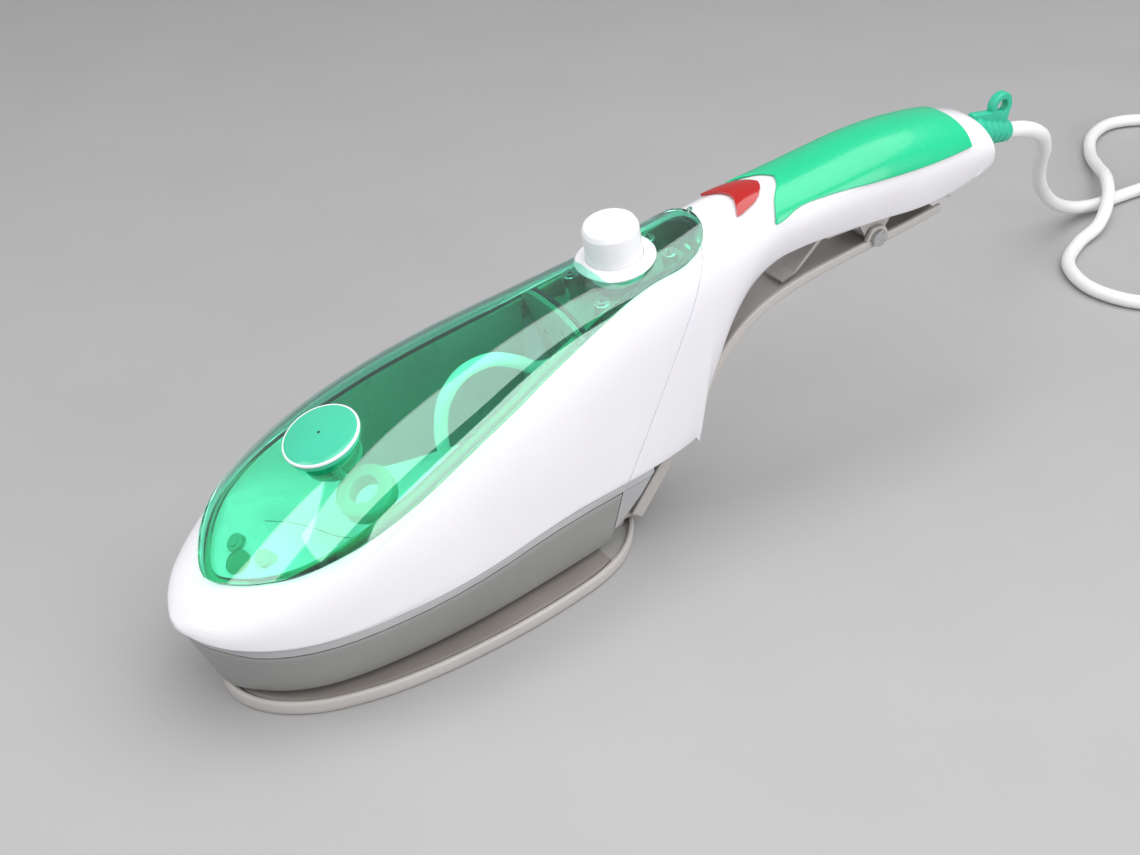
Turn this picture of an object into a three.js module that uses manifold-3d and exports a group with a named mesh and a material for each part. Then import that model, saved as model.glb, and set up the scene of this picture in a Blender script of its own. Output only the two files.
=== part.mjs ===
// Hand-held garment steamer with a water tank, a pump knob and a spring-loaded trouser clamp.
// Millimetres, +Z up, X from nose to tail, standing on the press tray of its clamp.
import * as THREE from 'three';
import { mergeVertices } from 'three/addons/utils/BufferGeometryUtils.js';
import Module from 'manifold-3d';

const wasm = await Module();
wasm.setup();

// ---------- driving dimensions ----------
const GAP = 0.3;             // clearance between touching pieces
const BASE_Z = 8.4;          // bottom edge of the sole skirt above the floor
const SKIRT_H = 28.1;        // height of the sole skirt
const RIM_H = 31.9;          // lower edge of the white casing, above BASE_Z
const WALL = 2.4;            // casing wall
const NOSE_X = -2;           // front end of the casing
const TAIL_TOP = [367, 128]; // upper edge of the slanted tail face (x, height)
const TAIL_LOW = [376, 104]; // lower edge of the slanted tail face
const SPLIT = { x: 213, h: 110, slope: 0.47 };  // plane between front and handle casings
const PIN = { x: 313, h: 90.3, r: 1.8, half: 13.2 };
const CAP = { x: 60.2, h: 87.4, tilt: 20.6, r: 14.3 };
const KNOB = { x: 186, h: 116, tilt: 11.2, brim: 15.5, r: 10.9, height: 16.6 };
const BULKHEAD = { x: 152, h: 110, lean: 0.42, thickness: 2.2 };
const TANK_FLOOR = 38;
const TRAY = { rim: 5.8, floor: 2, lip: 2.2 };
const LEVER = { half: 11.5, wall: 1.8, floor: 1.4, depth: 7.5, tailDepth: 4.4 };
const GUARD = { x: 372.2, h: 117, end: 397, drop: 5.6, r: 6.2 };
const CORD_R = 3.5;
const COIL = { x: 652, y: 4, mean: 38.5, turnsWide: 3 };
const DEG = Math.PI / 180;

// Ribs of the outer body: x, lower edge, top, height of the widest point,
// half width there, half width at the lower edge, roundness of the arch
const RIBS = [
  [-2, 31.9, 33.3, 32.6, 0.5, 0.3, 2.9],
  [0, 31.9, 36.2, 32.8, 9.2, 6.2, 2.9],
  [3, 31.9, 39.2, 33, 15.8, 13.4, 2.9],
  [8, 31.9, 43.4, 33.2, 22.8, 20.8, 2.9],
  [15, 31.9, 49, 33.4, 29, 27.5, 2.9],
  [25, 31.9, 57.2, 33.6, 34.8, 33.6, 2.9],
  [40, 31.9, 69.4, 33.8, 39.3, 38.2, 2.9],
  [53, 31.9, 78.4, 34.4, 40.7, 39.8, 2.9],
  [65, 31.9, 85.2, 35, 40.8, 40, 2.9],
  [80, 31.9, 91.8, 36, 40, 39.6, 2.9],
  [95, 31.9, 97, 38, 38.4, 38.1, 2.92],
  [111, 31.9, 101.4, 41, 35.8, 35.5, 2.95],
  [130, 31.9, 105.9, 45, 31.6, 31.4, 3],
  [150, 31.9, 109.6, 52, 27.8, 27.6, 3],
  [170, 31.9, 112.6, 62, 25.4, 25.2, 3],
  [189, 31.9, 115.2, 74, 23.6, 22.8, 3],
  [207, 31.9, 118.9, 86, 21.4, 19.2, 2.8],
  [225, 55.5, 122.8, 97, 19.3, 14.4, 2.5],
  [240, 87.5, 125.1, 107, 18.2, 13.6, 2.3],
  [250, 96.4, 126.1, 111.5, 17.6, 13.5, 2.25],
  [265, 100.6, 127.5, 113.5, 17.7, 13.8, 2.25],
  [285, 101, 130, 115, 18, 14, 2.25],
  [310, 100.2, 132.8, 116, 18.5, 14.2, 2.25],
  [335, 99, 132.6, 116, 18.5, 14.2, 2.25],
  [352, 100.4, 130.6, 116, 18.2, 14, 2.25],
  [368, 103, 127, 115, 17.2, 13.2, 2.25],
  [392, 108, 118, 113, 13.5, 10.5, 2.25],
];
// Rear edge of the neck and underside of the handle: x, height
const NECK = [[216, 31.9], [219.5, 31.9], [220.4, 39], [221.8, 46.5], [224, 53.5], [227, 61], [232.6, 75],
  [237, 83.4], [242, 90.3], [248, 95.4], [256, 99.2], [267, 100.8], [285, 101], [310, 100.2], [335, 99], [352, 100.4],
  [368, 103], [392, 108]];
// Window outline seen from above: x, half width
const WINDOW = [[12.4, 0], [13.4, 5.5], [16.2, 11.6], [21, 19], [33.6, 30], [50, 35.2], [69, 35.9],
  [91, 33.6], [115, 29.3], [140, 23.8], [165, 19.4], [190, 16.2], [207, 15.6], [215, 13.4], [220, 8.8],
  [221.8, 4], [222.2, 0]];
// Skirt outline at its lower edge and at its upper edge: x, half width
const SKIRT_LOW = [[12.2, 0], [13.2, 4.8], [15.8, 8.8], [20, 13.2], [28.7, 20], [40, 25], [53, 27.6], [68, 28.7],
  [82, 28.8], [98, 28.2], [114, 26.8], [132, 24.6], [150, 22], [170, 18.6], [190, 14.4]];
const SKIRT_TOP = [[0.9, 0], [1.6, 5.6], [3.4, 10.8], [7, 16.6], [14.9, 26.6], [25, 33.1], [36.3, 37.1], [49, 39.2],
  [63, 39.8], [78, 39.5], [94, 38], [110, 35.5], [130, 31.2], [150, 27.6], [170, 25.1], [190, 22.4]];
// Press tray outline: x, half width
const TRAY_PLAN = [[13.4, 0], [14, 5.6], [17.2, 13.4], [26.2, 23], [37, 29.2], [49.2, 33], [62, 35.6], [76.4, 37],
  [92, 37.4], [107.2, 37], [125, 35.6], [142, 33.4], [162, 29.4], [172, 25.6], [181, 19.8], [188, 13], [192, 7.4],
  [194, 0]];
// Outer line of the clamp lever: x, height above the floor
const LEVER_LINE = [[194.6, 6.2], [199.5, 13.4], [205.9, 22.8], [212, 31.2], [218.4, 40], [224.4, 49.4], [231, 61.4],
  [236, 68.4], [242.4, 75], [251, 81], [262, 85.4], [275, 88.6], [297.7, 92], [325.8, 95], [350, 98.6]];

// ---------- materials ----------
const plastic = (color, roughness = 0.3) => new THREE.MeshStandardMaterial({ color, roughness, metalness: 0 });
const metal = (color, roughness = 0.35) => new THREE.MeshStandardMaterial({ color, roughness, metalness: 1 });
const clear = (color, opacity) =>
  new THREE.MeshStandardMaterial({ color, roughness: 0.08, metalness: 0, transparent: true, opacity });
const WHITE = plastic(0xf0f1f5, 0.22);
const GREEN = plastic(0x23d694, 0.25);
const GREEN_CLEAR = clear(0x1fae76, 0.5);
const MINT_CLEAR = clear(0xb8ead2, 0.6);
const RED = plastic(0xd42a20, 0.18);
const LIGHT_GREY = plastic(0xb9bab9, 0.4);
const MID_GREY = plastic(0x8f918f, 0.45);
const WARM_GREY = plastic(0xc6bfb9, 0.4);
const DARK = plastic(0x2c2d30, 0.6);
const SILICONE = plastic(0xd9efe4, 0.5);
const CERAMIC = plastic(0xe6ddcb, 0.7);
const RUBBER = plastic(0xb5512f, 0.7);
const TAUPE = plastic(0x8c847d, 0.6);
const STEEL = metal(0xb9bcc0);
const ALUMINIUM = metal(0xc9ccd0, 0.3);
const BRASS = metal(0xc8a250);

// ---------- shared helpers ----------
const solid = (geometry) => {
  const g = geometry.clone();
  for (const key of Object.keys(g.attributes)) {
    if (key !== 'position') g.deleteAttribute(key);
  }
  const merged = mergeVertices(g, 1e-3);
  const mesh = new wasm.Mesh({
    numProp: 3,
    vertProperties: new Float32Array(merged.attributes.position.array),
    triVerts: new Uint32Array(merged.index.array),
  });
  return new wasm.Manifold(mesh);
};

const geometryOf = (manifold) => {
  const mesh = manifold.getMesh();
  const g = new THREE.BufferGeometry();
  g.setAttribute('position', new THREE.BufferAttribute(new Float32Array(mesh.vertProperties), 3));
  g.setIndex(new THREE.BufferAttribute(new Uint32Array(mesh.triVerts), 1));
  g.computeVertexNormals();
  return g;
};

// Smooth curve y(x) through hand-set points
const smooth = (xs, ys, x) => {
  const n = xs.length;
  let i = 0;
  while (i < n - 2 && x > xs[i + 1]) i += 1;
  const step = (k) => (ys[k + 1] - ys[k]) / (xs[k + 1] - xs[k]);
  const slope = (k) => {
    if (k === 0) return step(0);
    if (k === n - 1) return step(n - 2);
    const before = xs[k] - xs[k - 1];
    const after = xs[k + 1] - xs[k];
    return (step(k - 1) * after + step(k) * before) / (before + after);
  };
  const h = xs[i + 1] - xs[i];
  const t = (x - xs[i]) / h;
  return ys[i] * (1 + 2 * t) * (1 - t) ** 2 + h * slope(i) * t * (1 - t) ** 2
    + ys[i + 1] * t * t * (3 - 2 * t) + h * slope(i + 1) * t * t * (t - 1);
};

// Closed symmetric outline from (x, half width) points, moved inwards by inset
const outline = (points, inset = 0) => {
  const out = [];
  points.forEach(([x, w], i) => {
    const a = points[Math.max(i - 1, 0)];
    const b = points[Math.min(i + 1, points.length - 1)];
    const ends = i === 0 || i === points.length - 1;
    const dx = ends && w === 0 ? 0 : b[0] - a[0];
    const dw = ends && w === 0 ? (i === 0 ? 1 : -1) : b[1] - a[1];
    const len = Math.hypot(dx, dw);
    const half = Math.max(w - (inset * dx) / len, w === 0 ? 0 : 0.05);
    out.push([x + (inset * dw) / len, half]);
  });
  const right = out.map(([x, w]) => new THREE.Vector2(x, -w));
  const left = out.filter(([, w]) => w > 0).map(([x, w]) => new THREE.Vector2(x, w)).reverse();
  return right.concat(left);
};

const slab = (points, low, high) => {
  const shape = new THREE.Shape(points);
  const g = new THREE.ExtrudeGeometry(shape, { depth: high - low, bevelEnabled: false });
  g.translate(0, 0, low);
  return solid(g);
};

// Side profile (x, height) given a width across the object, centred at y
const sheet = (points, width, y = 0) => {
  const shape = new THREE.Shape(points.map(([x, h]) => new THREE.Vector2(x, h)));
  const g = new THREE.ExtrudeGeometry(shape, { depth: width, bevelEnabled: false });
  g.rotateX(Math.PI / 2);
  g.translate(0, y + width / 2, 0);
  return solid(g);
};

const block = (x0, x1, y0, y1, z0, z1) => {
  const g = new THREE.BoxGeometry(x1 - x0, y1 - y0, z1 - z0);
  g.translate((x0 + x1) / 2, (y0 + y1) / 2, (z0 + z1) / 2);
  return solid(g);
};

// Turned piece from a closed (radius, height) profile about the vertical axis
const turned = (profile, sides = 20) => {
  const area = profile.reduce((sum, [r, h], i) => {
    const [r2, h2] = profile[(i + 1) % profile.length];
    return sum + r * h2 - r2 * h;
  }, 0);
  const ordered = area > 0 ? profile : profile.slice().reverse();
  const points = ordered.concat([ordered[0]]).map(([r, h]) => new THREE.Vector2(r, h));
  const g = new THREE.LatheGeometry(points, sides);
  g.rotateX(Math.PI / 2);
  return solid(g);
};
const disc = (r, low, high, sides = 20) => turned([[0, low], [r, low], [r, high], [0, high]], sides);
const ring = (inner, outer, low, high, sides = 20) =>
  turned([[inner, low], [outer, low], [outer, high], [inner, high]], sides);
const acrossY = (manifold, x, y, z) => manifold.rotate([90, 0, 0]).translate([x, y, z]);
const rodY = (r, y0, y1, x, z, sides = 12) => acrossY(disc(r, -y1, -y0, sides), x, 0, z);

const pipe = (points, radius, sides, steps) => {
  const curve = new THREE.CatmullRomCurve3(points.map((p) => new THREE.Vector3(...p)), false, 'centripetal');
  const section = new THREE.Shape();
  for (let i = 0; i < sides; i += 1) {
    const a = (2 * Math.PI * i) / sides;
    if (i === 0) section.moveTo(radius, 0);
    else section.lineTo(radius * Math.cos(a), radius * Math.sin(a));
  }
  section.closePath();
  return new THREE.ExtrudeGeometry(section, { steps, extrudePath: curve, bevelEnabled: false });
};

const union = (list) => list.reduce((all, one) => all.add(one));

// Everything on one side of the slanted line through (x, h); keep = -1 in front, +1 behind
const beyondPlane = (x, h, slope, keep) => {
  const far = 500;
  const low = [x + (-60 - h) * slope, -60];
  const high = [x + (240 - h) * slope, 240];
  return sheet(keep > 0 ? [low, [far, -60], [far, 240], high] : [[-100, -60], low, high, [-100, 240]], 300);
};

// ---------- outer body ----------
const column = (k) => RIBS.map((rib) => rib[k]);
const STATIONS = RIBS.map((rib) => Math.sqrt(rib[0] - NOSE_X));
const NECK_X = NECK.map((p) => p[0]);
const NECK_H = NECK.map((p) => p[1]);
const lowerEdge = (x) => (x < NECK_X[0] ? RIM_H : smooth(NECK_X, NECK_H, x));
const OPEN_TO = 196;         // the casing is open below as far as here

const ribAt = (x, inset) => {
  const noseShift = inset * Math.max(0, 1 - (x - NOSE_X) / 42);
  const at = Math.sqrt(Math.max(x - noseShift - NOSE_X, 0));
  const value = (k) => smooth(STATIONS, column(k), at);
  const open = inset > 0 && x < OPEN_TO;
  return {
    bottom: open ? RIM_H - 6 : lowerEdge(x + inset) + inset,
    top: value(2) - inset,
    mid: value(3),
    half: Math.max(value(4) - inset, 0.2),
    foot: Math.max(value(5) - inset, 0.15),
    power: value(6),
  };
};

const ringAt = (x, inset) => {
  const rib = ribAt(x, inset);
  const arch = 14;
  const side = 3;
  const mid = Math.min(Math.max(rib.mid, rib.bottom + 0.4), rib.top - 0.4);
  const points = [];
  for (let i = 0; i <= arch; i += 1) {
    const a = (Math.PI * i) / arch;
    const c = Math.cos(a);
    const y = -rib.half * Math.sign(c) * Math.abs(c) ** (2 / rib.power);
    points.push([x, y, mid + (rib.top - mid) * Math.sin(a) ** (2 / rib.power)]);
  }
  const flank = (t) => rib.half + (rib.foot - rib.half) * t ** 1.6;
  for (let i = 1; i <= side; i += 1) points.push([x, flank(i / side), mid + (rib.bottom - mid) * (i / side)]);
  for (let i = side; i >= 1; i -= 1) points.push([x, -flank(i / side), mid + (rib.bottom - mid) * (i / side)]);
  return points;
};

const loft = (rings) => {
  const count = rings[0].length;
  const positions = rings.flat(2);
  const index = [];
  const centre = (r) => {
    const sum = rings[r].reduce((s, p) => [s[0] + p[0], s[1] + p[1], s[2] + p[2]], [0, 0, 0]);
    positions.push(...sum.map((v) => v / count));
    return positions.length / 3 - 1;
  };
  for (let r = 0; r < rings.length - 1; r += 1) {
    for (let i = 0; i < count; i += 1) {
      const a = r * count + i;
      const b = r * count + ((i + 1) % count);
      index.push(a, a + count, b, b, a + count, b + count);
    }
  }
  const first = centre(0);
  const last = centre(rings.length - 1);
  const end = (rings.length - 1) * count;
  for (let i = 0; i < count; i += 1) {
    const j = (i + 1) % count;
    index.push(first, i, j);
    index.push(last, end + j, end + i);
  }
  const g = new THREE.BufferGeometry();
  g.setAttribute('position', new THREE.BufferAttribute(new Float32Array(positions), 3));
  g.setIndex(index);
  return solid(g);
};

const BODY_X = [-1.96, -1.2, 0.4, 2.6, 6, 11, 18, 27, 38, 50, 64, 80, 96, 112, 130, 150, 170, 189, 201, 210, 216,
  219, 220.4, 222, 224.5, 228, 232.5, 237, 243, 250, 258, 268, 285, 310, 335, 352, 365, 378, 391];
const tailCut = (inset) => {
  const slope = (TAIL_TOP[0] - TAIL_LOW[0]) / (TAIL_TOP[1] - TAIL_LOW[1]);
  return beyondPlane(TAIL_TOP[0] - inset, TAIL_TOP[1], slope, -1);
};
const bodySolid = (inset) =>
  loft(BODY_X.map((x) => ringAt(Math.max(x, NOSE_X + inset + 0.05 + (x - NOSE_X) * 0.02), inset)
    .map(([, y, z], i, all) => [Math.max(x, NOSE_X + inset * 1.02 + (x - NOSE_X) * 0.02), y, z])))
    .intersect(tailCut(inset));

const windowCut = (inset) => slab(outline(WINDOW, inset), 30, 150);
// Region of the green grip on the top of the handle
const gripCut = (extra) => {
  const plan = [[262.5, 0], [259.6, 5], [254.2, 10], [250.6, 15], [247, 24], [356, 24], [354, 8], [353.4, 0]];
  const left = plan.slice(1, -1).map(([x, y]) => [x, y]);
  const right = plan.slice(1, -1).reverse().map(([x, y]) => [x, -y]);
  const grow = ([x, y]) => new THREE.Vector2(x + (x > 300 ? extra : -extra) * 1.4, y);
  const around = [plan[0], ...left, plan[plan.length - 1], ...right].map(grow);
  const side = [[240, 117.4 - extra], [251, 117.4 - extra], [262, 120.8 - extra], [290, 121.6 - extra],
    [330, 120.6 - extra], [360, 121.4 - extra], [360, 150], [240, 150]];
  return slab(around, 100, 150).intersect(sheet(side, 60));
};
// Chevron lens in front of the grip
const lensCut = (extra) => {
  const half = [[240.4, 0], [239.6, 3.6], [237.6, 7], [235.2, 10.6], [239.6, 10.8], [245, 8.6], [250.8, 5], [253.6, 0]];
  const left = half.slice(1, -1);
  const points = [half[0], ...left, half[half.length - 1], ...left.slice().reverse().map(([x, y]) => [x, -y])];
  const grow = ([x, y]) => new THREE.Vector2(x + (x > 243 ? extra : -extra), y + Math.sign(y) * extra * 0.8);
  return slab(points.map(grow), 112, 150);
};

const tilted = (manifold, at) => manifold.rotate([0, -at.tilt, 0]).translate([at.x, 0, at.h]);
const heelSlot = () => {
  const forward = LEVER_LINE.filter(([, z]) => z > 22 && z < 82).map(([x, z]) => [x - 14, z - BASE_Z]);
  const back = LEVER_LINE.filter(([, z]) => z > 22 && z < 82).map(([x, z]) => [x + 24, z - BASE_Z]).reverse();
  return sheet(forward.concat(back), 2 * (LEVER.half + 1.1));
};
const coverCut = (extra) => block(264 - extra, 350 + extra, -11 - extra, 11 + extra, 90, 102.9 + extra);

const outer = bodySolid(0);
const underWall = bodySolid(WALL);
const underGrip = bodySolid(2.2);
const inGrip = bodySolid(2.8);
const handleCore = bodySolid(4.4);

const bodyCasing = () => outer.subtract(underWall).subtract(windowCut(-GAP / 2))
  .intersect(beyondPlane(SPLIT.x - GAP / 2, SPLIT.h, SPLIT.slope, -1));
const handleCasing = () => {
  const hollow = handleCore.intersect(beyondPlane(262, 120, 0, 1))
    .add(underWall.intersect(beyondPlane(262.5, 120, 0, -1)));
  const recess = gripCut(GAP / 2).subtract(inGrip);
  const guardHole = alongGuard(disc(GUARD.r + GAP, -14, 12, 18));
  return largest(outer.subtract(hollow).subtract(recess).subtract(windowCut(-GAP / 2))
    .subtract(lensCut(GAP / 2)).subtract(heelSlot()).subtract(coverCut(GAP / 2)).subtract(guardHole).subtract(screwHoles())
    .intersect(beyondPlane(SPLIT.x + GAP / 2, SPLIT.h, SPLIT.slope, 1)));
};
const largest = (manifold) => manifold.decompose().reduce((a, b) => (a.volume() > b.volume() ? a : b));
const GUARD_TILT = 90 + Math.atan2(GUARD.drop, GUARD.end - GUARD.x) / DEG;
const alongGuard = (manifold) => manifold.rotate([0, GUARD_TILT, 0]).translate([GUARD.x, 0, GUARD.h]);
// Screws of the handle cover and of the clamp bracket, along the middle of the handle
const COVER_SCREW_X = [272, 344];
const BRACKET_SCREW_X = [296, 330];
const screwHoles = () =>
  union(COVER_SCREW_X.concat(BRACKET_SCREW_X).map((x) => disc(1.8, 80, 107, 8).translate([x, 0, 0])));
const tankCover = () => {
  const neckHole = tilted(disc(8.2, -20, 10), CAP);
  const knobHole = tilted(disc(12.4, -30, 20), KNOB);
  const knobSeat = tilted(disc(KNOB.brim + 0.5, -0.7, 20), KNOB);
  return largest(outer.subtract(underGrip).intersect(windowCut(GAP / 2)).subtract(neckHole).subtract(knobHole)
    .subtract(knobSeat));
};
const gripCover = () => largest(outer.subtract(underGrip).intersect(gripCut(-GAP / 2)));
const handleCover = () => {
  return largest(outer.intersect(coverCut(-GAP / 2))).subtract(screwHoles());
};
const indicatorLens = () => {
  const lens = outer.subtract(bodySolid(4.2)).intersect(lensCut(-GAP / 2));
  return largest(lens);
};

// ---------- water tank ----------
const tankRegion = (inset) => {
  const room = bodySolid(WALL + GAP + inset).intersect(slab(outline(WINDOW, 2.4 + inset), TANK_FLOOR + inset, 150));
  const behind = BULKHEAD.x - 0.2 - inset;
  return room.intersect(beyondPlane(behind, BULKHEAD.h, -BULKHEAD.lean, -1));
};
const tankTray = () => {
  const above = sheet([[-20, 38], [14, 45], [50, 60], [92, 75], [141, 90], [200, 107], [200, 160], [-20, 160]], 120);
  const tubeHole = block(150, 200, -3.2, 3.2, 76, 83);
  return largest(tankRegion(0).subtract(tankRegion(1.6)).subtract(above).subtract(tubeHole));
};
const bulkhead = () => {
  const lean = BULKHEAD.lean;
  const front = beyondPlane(BULKHEAD.x + 0.2, BULKHEAD.h, -lean, 1);
  const back = beyondPlane(BULKHEAD.x + 0.2 + BULKHEAD.thickness, BULKHEAD.h, -lean, -1);
  const shape = bodySolid(WALL + GAP).intersect(slab(outline(WINDOW, 2.6), 60, 150));
  const pipeHole = block(100, 220, -3.2, 3.2, 76, 83);
  return largest(shape.intersect(front).intersect(back).subtract(pipeHole));
};
const SUCTION = [[112, 4, 52], [110, 4, 66], [112, 3.4, 80], [119, 2, 89], [130, 0.6, 91.5], [141, 0, 87], [150, 0, 81],
  [160, 0, 79.5], [185, 0, 79.5]];
const suctionFilter = () => ring(2.9, 4.6, 40.5, 51.5, 14).add(disc(4.6, 39.9, 41.5, 14)).translate([112, 4, 0]);
const fillerNeck = () => tilted(turned([[6.2, -15], [7.6, -15], [7.6, -13.4], [10, -13.4], [10, -12.2],
  [7.6, -12.2], [7.6, -3.2], [6.2, -3.2]], 20), CAP);
const fillerSeal = () => tilted(ring(5.9, 7.4, -2.8, -1.9, 18), CAP);
const fillerCap = () => {
  const top = turned([[0, -1.6], [13.3, -1.6], [14.3, -0.9], [14.3, 0.2], [13.6, 0.8], [13, 0.3], [0, 0.3]], 28);
  return tilted(top.add(disc(5.5, -11, -1.5, 18)), CAP);
};

// ---------- pump ----------
const pumpCollar = () => tilted(turned([[11.5, -1.6], [12, -1.6], [12, -0.4], [KNOB.brim, -0.4], [KNOB.brim, 0.3],
  [14.8, 0.9], [11.5, 1.1]], 28), KNOB);
const pumpKnob = () => {
  const body = turned([[0, KNOB.height], [8.6, KNOB.height - 0.4], [10.3, KNOB.height - 1.6],
    [KNOB.r, KNOB.height - 3.4], [KNOB.r, -7], [9.3, -7], [9.3, KNOB.height - 3.6], [3.4, KNOB.height - 3.6],
    [3.4, 2], [0, 2]], 28);
  return tilted(body, KNOB);
};
const pumpPlunger = () => tilted(turned([[0, -34], [3.9, -34], [3.9, -31.6], [2.2, -31], [2.2, 1.7], [0, 1.7]], 14), KNOB);
const pistonSeal = () => tilted(ring(2.5, 5.1, -29.9, -27.5, 16), KNOB).subtract(tilted(disc(2.6, -32, -20, 14), KNOB));
const pumpCylinder = () => {
  const tube = turned([[1.6, -49], [7, -49], [7, -12.6], [8.7, -12.6], [8.7, -10.6], [5.5, -10.6], [5.5, -45.5], [1.6, -45.5]], 18);
  return tilted(tube, KNOB);
};
const pumpSpring = () => tilted(ring(3.8, 5, -25.8, -8.4, 14), KNOB);
const inletValve = () => tilted(disc(2.6, -44.9, -41.6, 12), KNOB);
const OUTLET = [[196.4, 0, 65], [196, 0, 50], [193, 0, 39], [182, 0, 34.6], [160, 0, 34.4], [138, 0, 33], [126, 0, 31.4],
  [120.8, 0, 28], [120, 0, 23.4]];

// ---------- sole ----------
const skirtRing = (points, z, inset) => outline(points, inset).map((p) => [p.x, p.y, z]);
const resampled = (points, count, endX) => {
  const xs = points.map((p) => Math.sqrt(p[0] - points[0][0]));
  const ws = points.map((p) => p[1]);
  const last = Math.sqrt(endX - points[0][0]);
  const out = [];
  for (let i = 0; i <= count; i += 1) {
    const at = (last * i) / count;
    out.push([points[0][0] + at * at, i === 0 ? 0 : smooth(xs, ws, at)]);
  }
  return out;
};
const SKIRT_STEPS = 22;
const SKIRT_END = 173;
const skirtSolid = (endX, inset, low, high) => {
  const a = resampled(SKIRT_LOW, SKIRT_STEPS, endX);
  const b = resampled(SKIRT_TOP, SKIRT_STEPS, endX);
  const level = (t) => a.map(([x, w], i) => [x + (b[i][0] - x) * t, w + (b[i][1] - w) * t]);
  return loft([high, low].map((t) => skirtRing(level(t), SKIRT_H * t, inset)));
};
// Rising rear underside of the base
const REAR_CHAMFER = [[163, -1], [168, 2.2], [174, 7], [180, 13], [185, 20], [189, 28.4], [189.4, 40], [240, 40], [240, -1]];
const chamfer = () => sheet(REAR_CHAMFER, 120);
const soleSkirt = () => largest(skirtSolid(189, 0, 0, 1).subtract(skirtSolid(191, 2.2, -0.4, 1.2)).subtract(chamfer())
  .intersect(beyondPlane(SKIRT_END, 10, 0, -1)));
const baseFrame = () => {
  const planX = resampled(SKIRT_TOP, SKIRT_STEPS, 189.6);
  const strip = slab(outline(planX, 0), SKIRT_H + GAP, RIM_H - GAP);
  const window = slab(outline(resampled(SKIRT_TOP, 14, 168), 7), SKIRT_H - 4, RIM_H + 4);
  const rear = skirtSolid(189.4, 0, 0, 1).intersect(beyondPlane(SKIRT_END + GAP, 10, 0, 1));
  const hollow = block(160, 186, -15, 15, -10, SKIRT_H - 4);
  const joint = block(SKIRT_END + GAP, 188, -14, 14, SKIRT_H - 2, SKIRT_H + 1);
  return largest(strip.add(rear).add(joint).subtract(window).subtract(chamfer()).subtract(hollow));
};
const soleplate = () => {
  const plan = outline(resampled(SKIRT_LOW, 18, 158), 2.9);
  const holes = [];
  for (const [x, y] of steamHoles()) holes.push(disc(1.3, -5, 12, 8).translate([x, y, 0]));
  const plate = slab(plan, -0.8, 4.6);
  return plate.subtract(union(holes));
};
const steamHoles = () => {
  const out = [];
  for (let i = 0; i < 6; i += 1) {
    const x = 34 + i * 19;
    const spread = 13 - i * 0.9;
    out.push([x, -spread], [x, spread], [x + 9.5, 0]);
  }
  return out;
};
const chamberPlan = (inset) => outline(resampled(SKIRT_LOW, 14, 152), inset);
const chamberGasket = () => slab(chamberPlan(6), 4.9, 6.1).subtract(slab(chamberPlan(9.4), 4, 8));
const chamberCover = () => slab(chamberPlan(6), 6.4, 12.4).subtract(slab(chamberPlan(8.2), 6, 10.4))
  .subtract(disc(3.4, 9, 14, 12).translate([120, 0, 0]));
const heaterPath = [[134, 10, 15.6], [110, 10.5, 15.6], [80, 13, 15.6], [58, 13, 15.6], [45, 8.5, 15.6], [41, 0, 15.6],
  [45, -8.5, 15.6], [58, -13, 15.6], [80, -13, 15.6], [110, -10.5, 15.6], [134, -10, 15.6]];
const thermostat = () => disc(8, 12.7, 15.4, 18).add(disc(6.4, 15.3, 21, 18)).translate([74, 0, 0]);
const thermalFuse = () => rodY(2, -6, 6, 98, 14.8, 10);
const heatShield = () => slab(outline(resampled(SKIRT_TOP, 14, 160), 9.6), 23.2, 24)
  .subtract(disc(4.4, 20, 28, 12).translate([120, 0, 0]));
const steamInlet = () => ring(1.6, 3.1, 10.8, 22.6, 12).translate([120, 0, 0]);

// ---------- handle electrics and cord ----------
const indicatorLamp = () => {
  const g = new THREE.CylinderGeometry(2.6, 2.6, 12, 12);
  g.rotateZ(Math.PI / 2);
  g.translate(246, 0, 116);
  return solid(g);
};
const terminalBlock = () => block(322, 342, -7, 7, 108, 117)
  .subtract(union([-3.4, 3.4].map((y) => disc(1.5, 112, 120, 8).translate([332, y, 0]))));
const cordClamp = () => block(352, 358, -9.4, 9.4, 107, 110.4)
  .subtract(union([-6.8, 6.8].map((y) => disc(1.7, 100, 115, 8).translate([355, y, 0]))));
const cordClampScrews = () => [-6.8, 6.8].map((y) => disc(1.4, 106.8, 111, 8).add(disc(2.6, 110.7, 112.2, 10))
  .translate([355, y, 0]));
const cordGuard = () => {
  const length = Math.hypot(GUARD.end - GUARD.x, GUARD.drop);
  const sleeve = alongGuard(turned([[CORD_R + 0.4, -7], [GUARD.r, -7], [GUARD.r, 6], [5.9, 12], [5.2, length - 2],
    [4.9, length], [CORD_R + 0.4, length]], 16));
  const cordBore = alongGuard(disc(CORD_R + 0.8, -30, 60, 16));
  return sleeve.add(largest(hangEye().subtract(cordBore)));
};
const hangEye = () => {
  const eye = ring(3.1, 6.2, -2, 2, 16).rotate([90, 0, 0]).translate([391, 0, 124.4]);
  const web = sheet([[374, 118], [396, 113], [396, 117.6], [387.5, 120.6], [374, 124.4]], 3.6);
  return eye.add(web);
};

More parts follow.
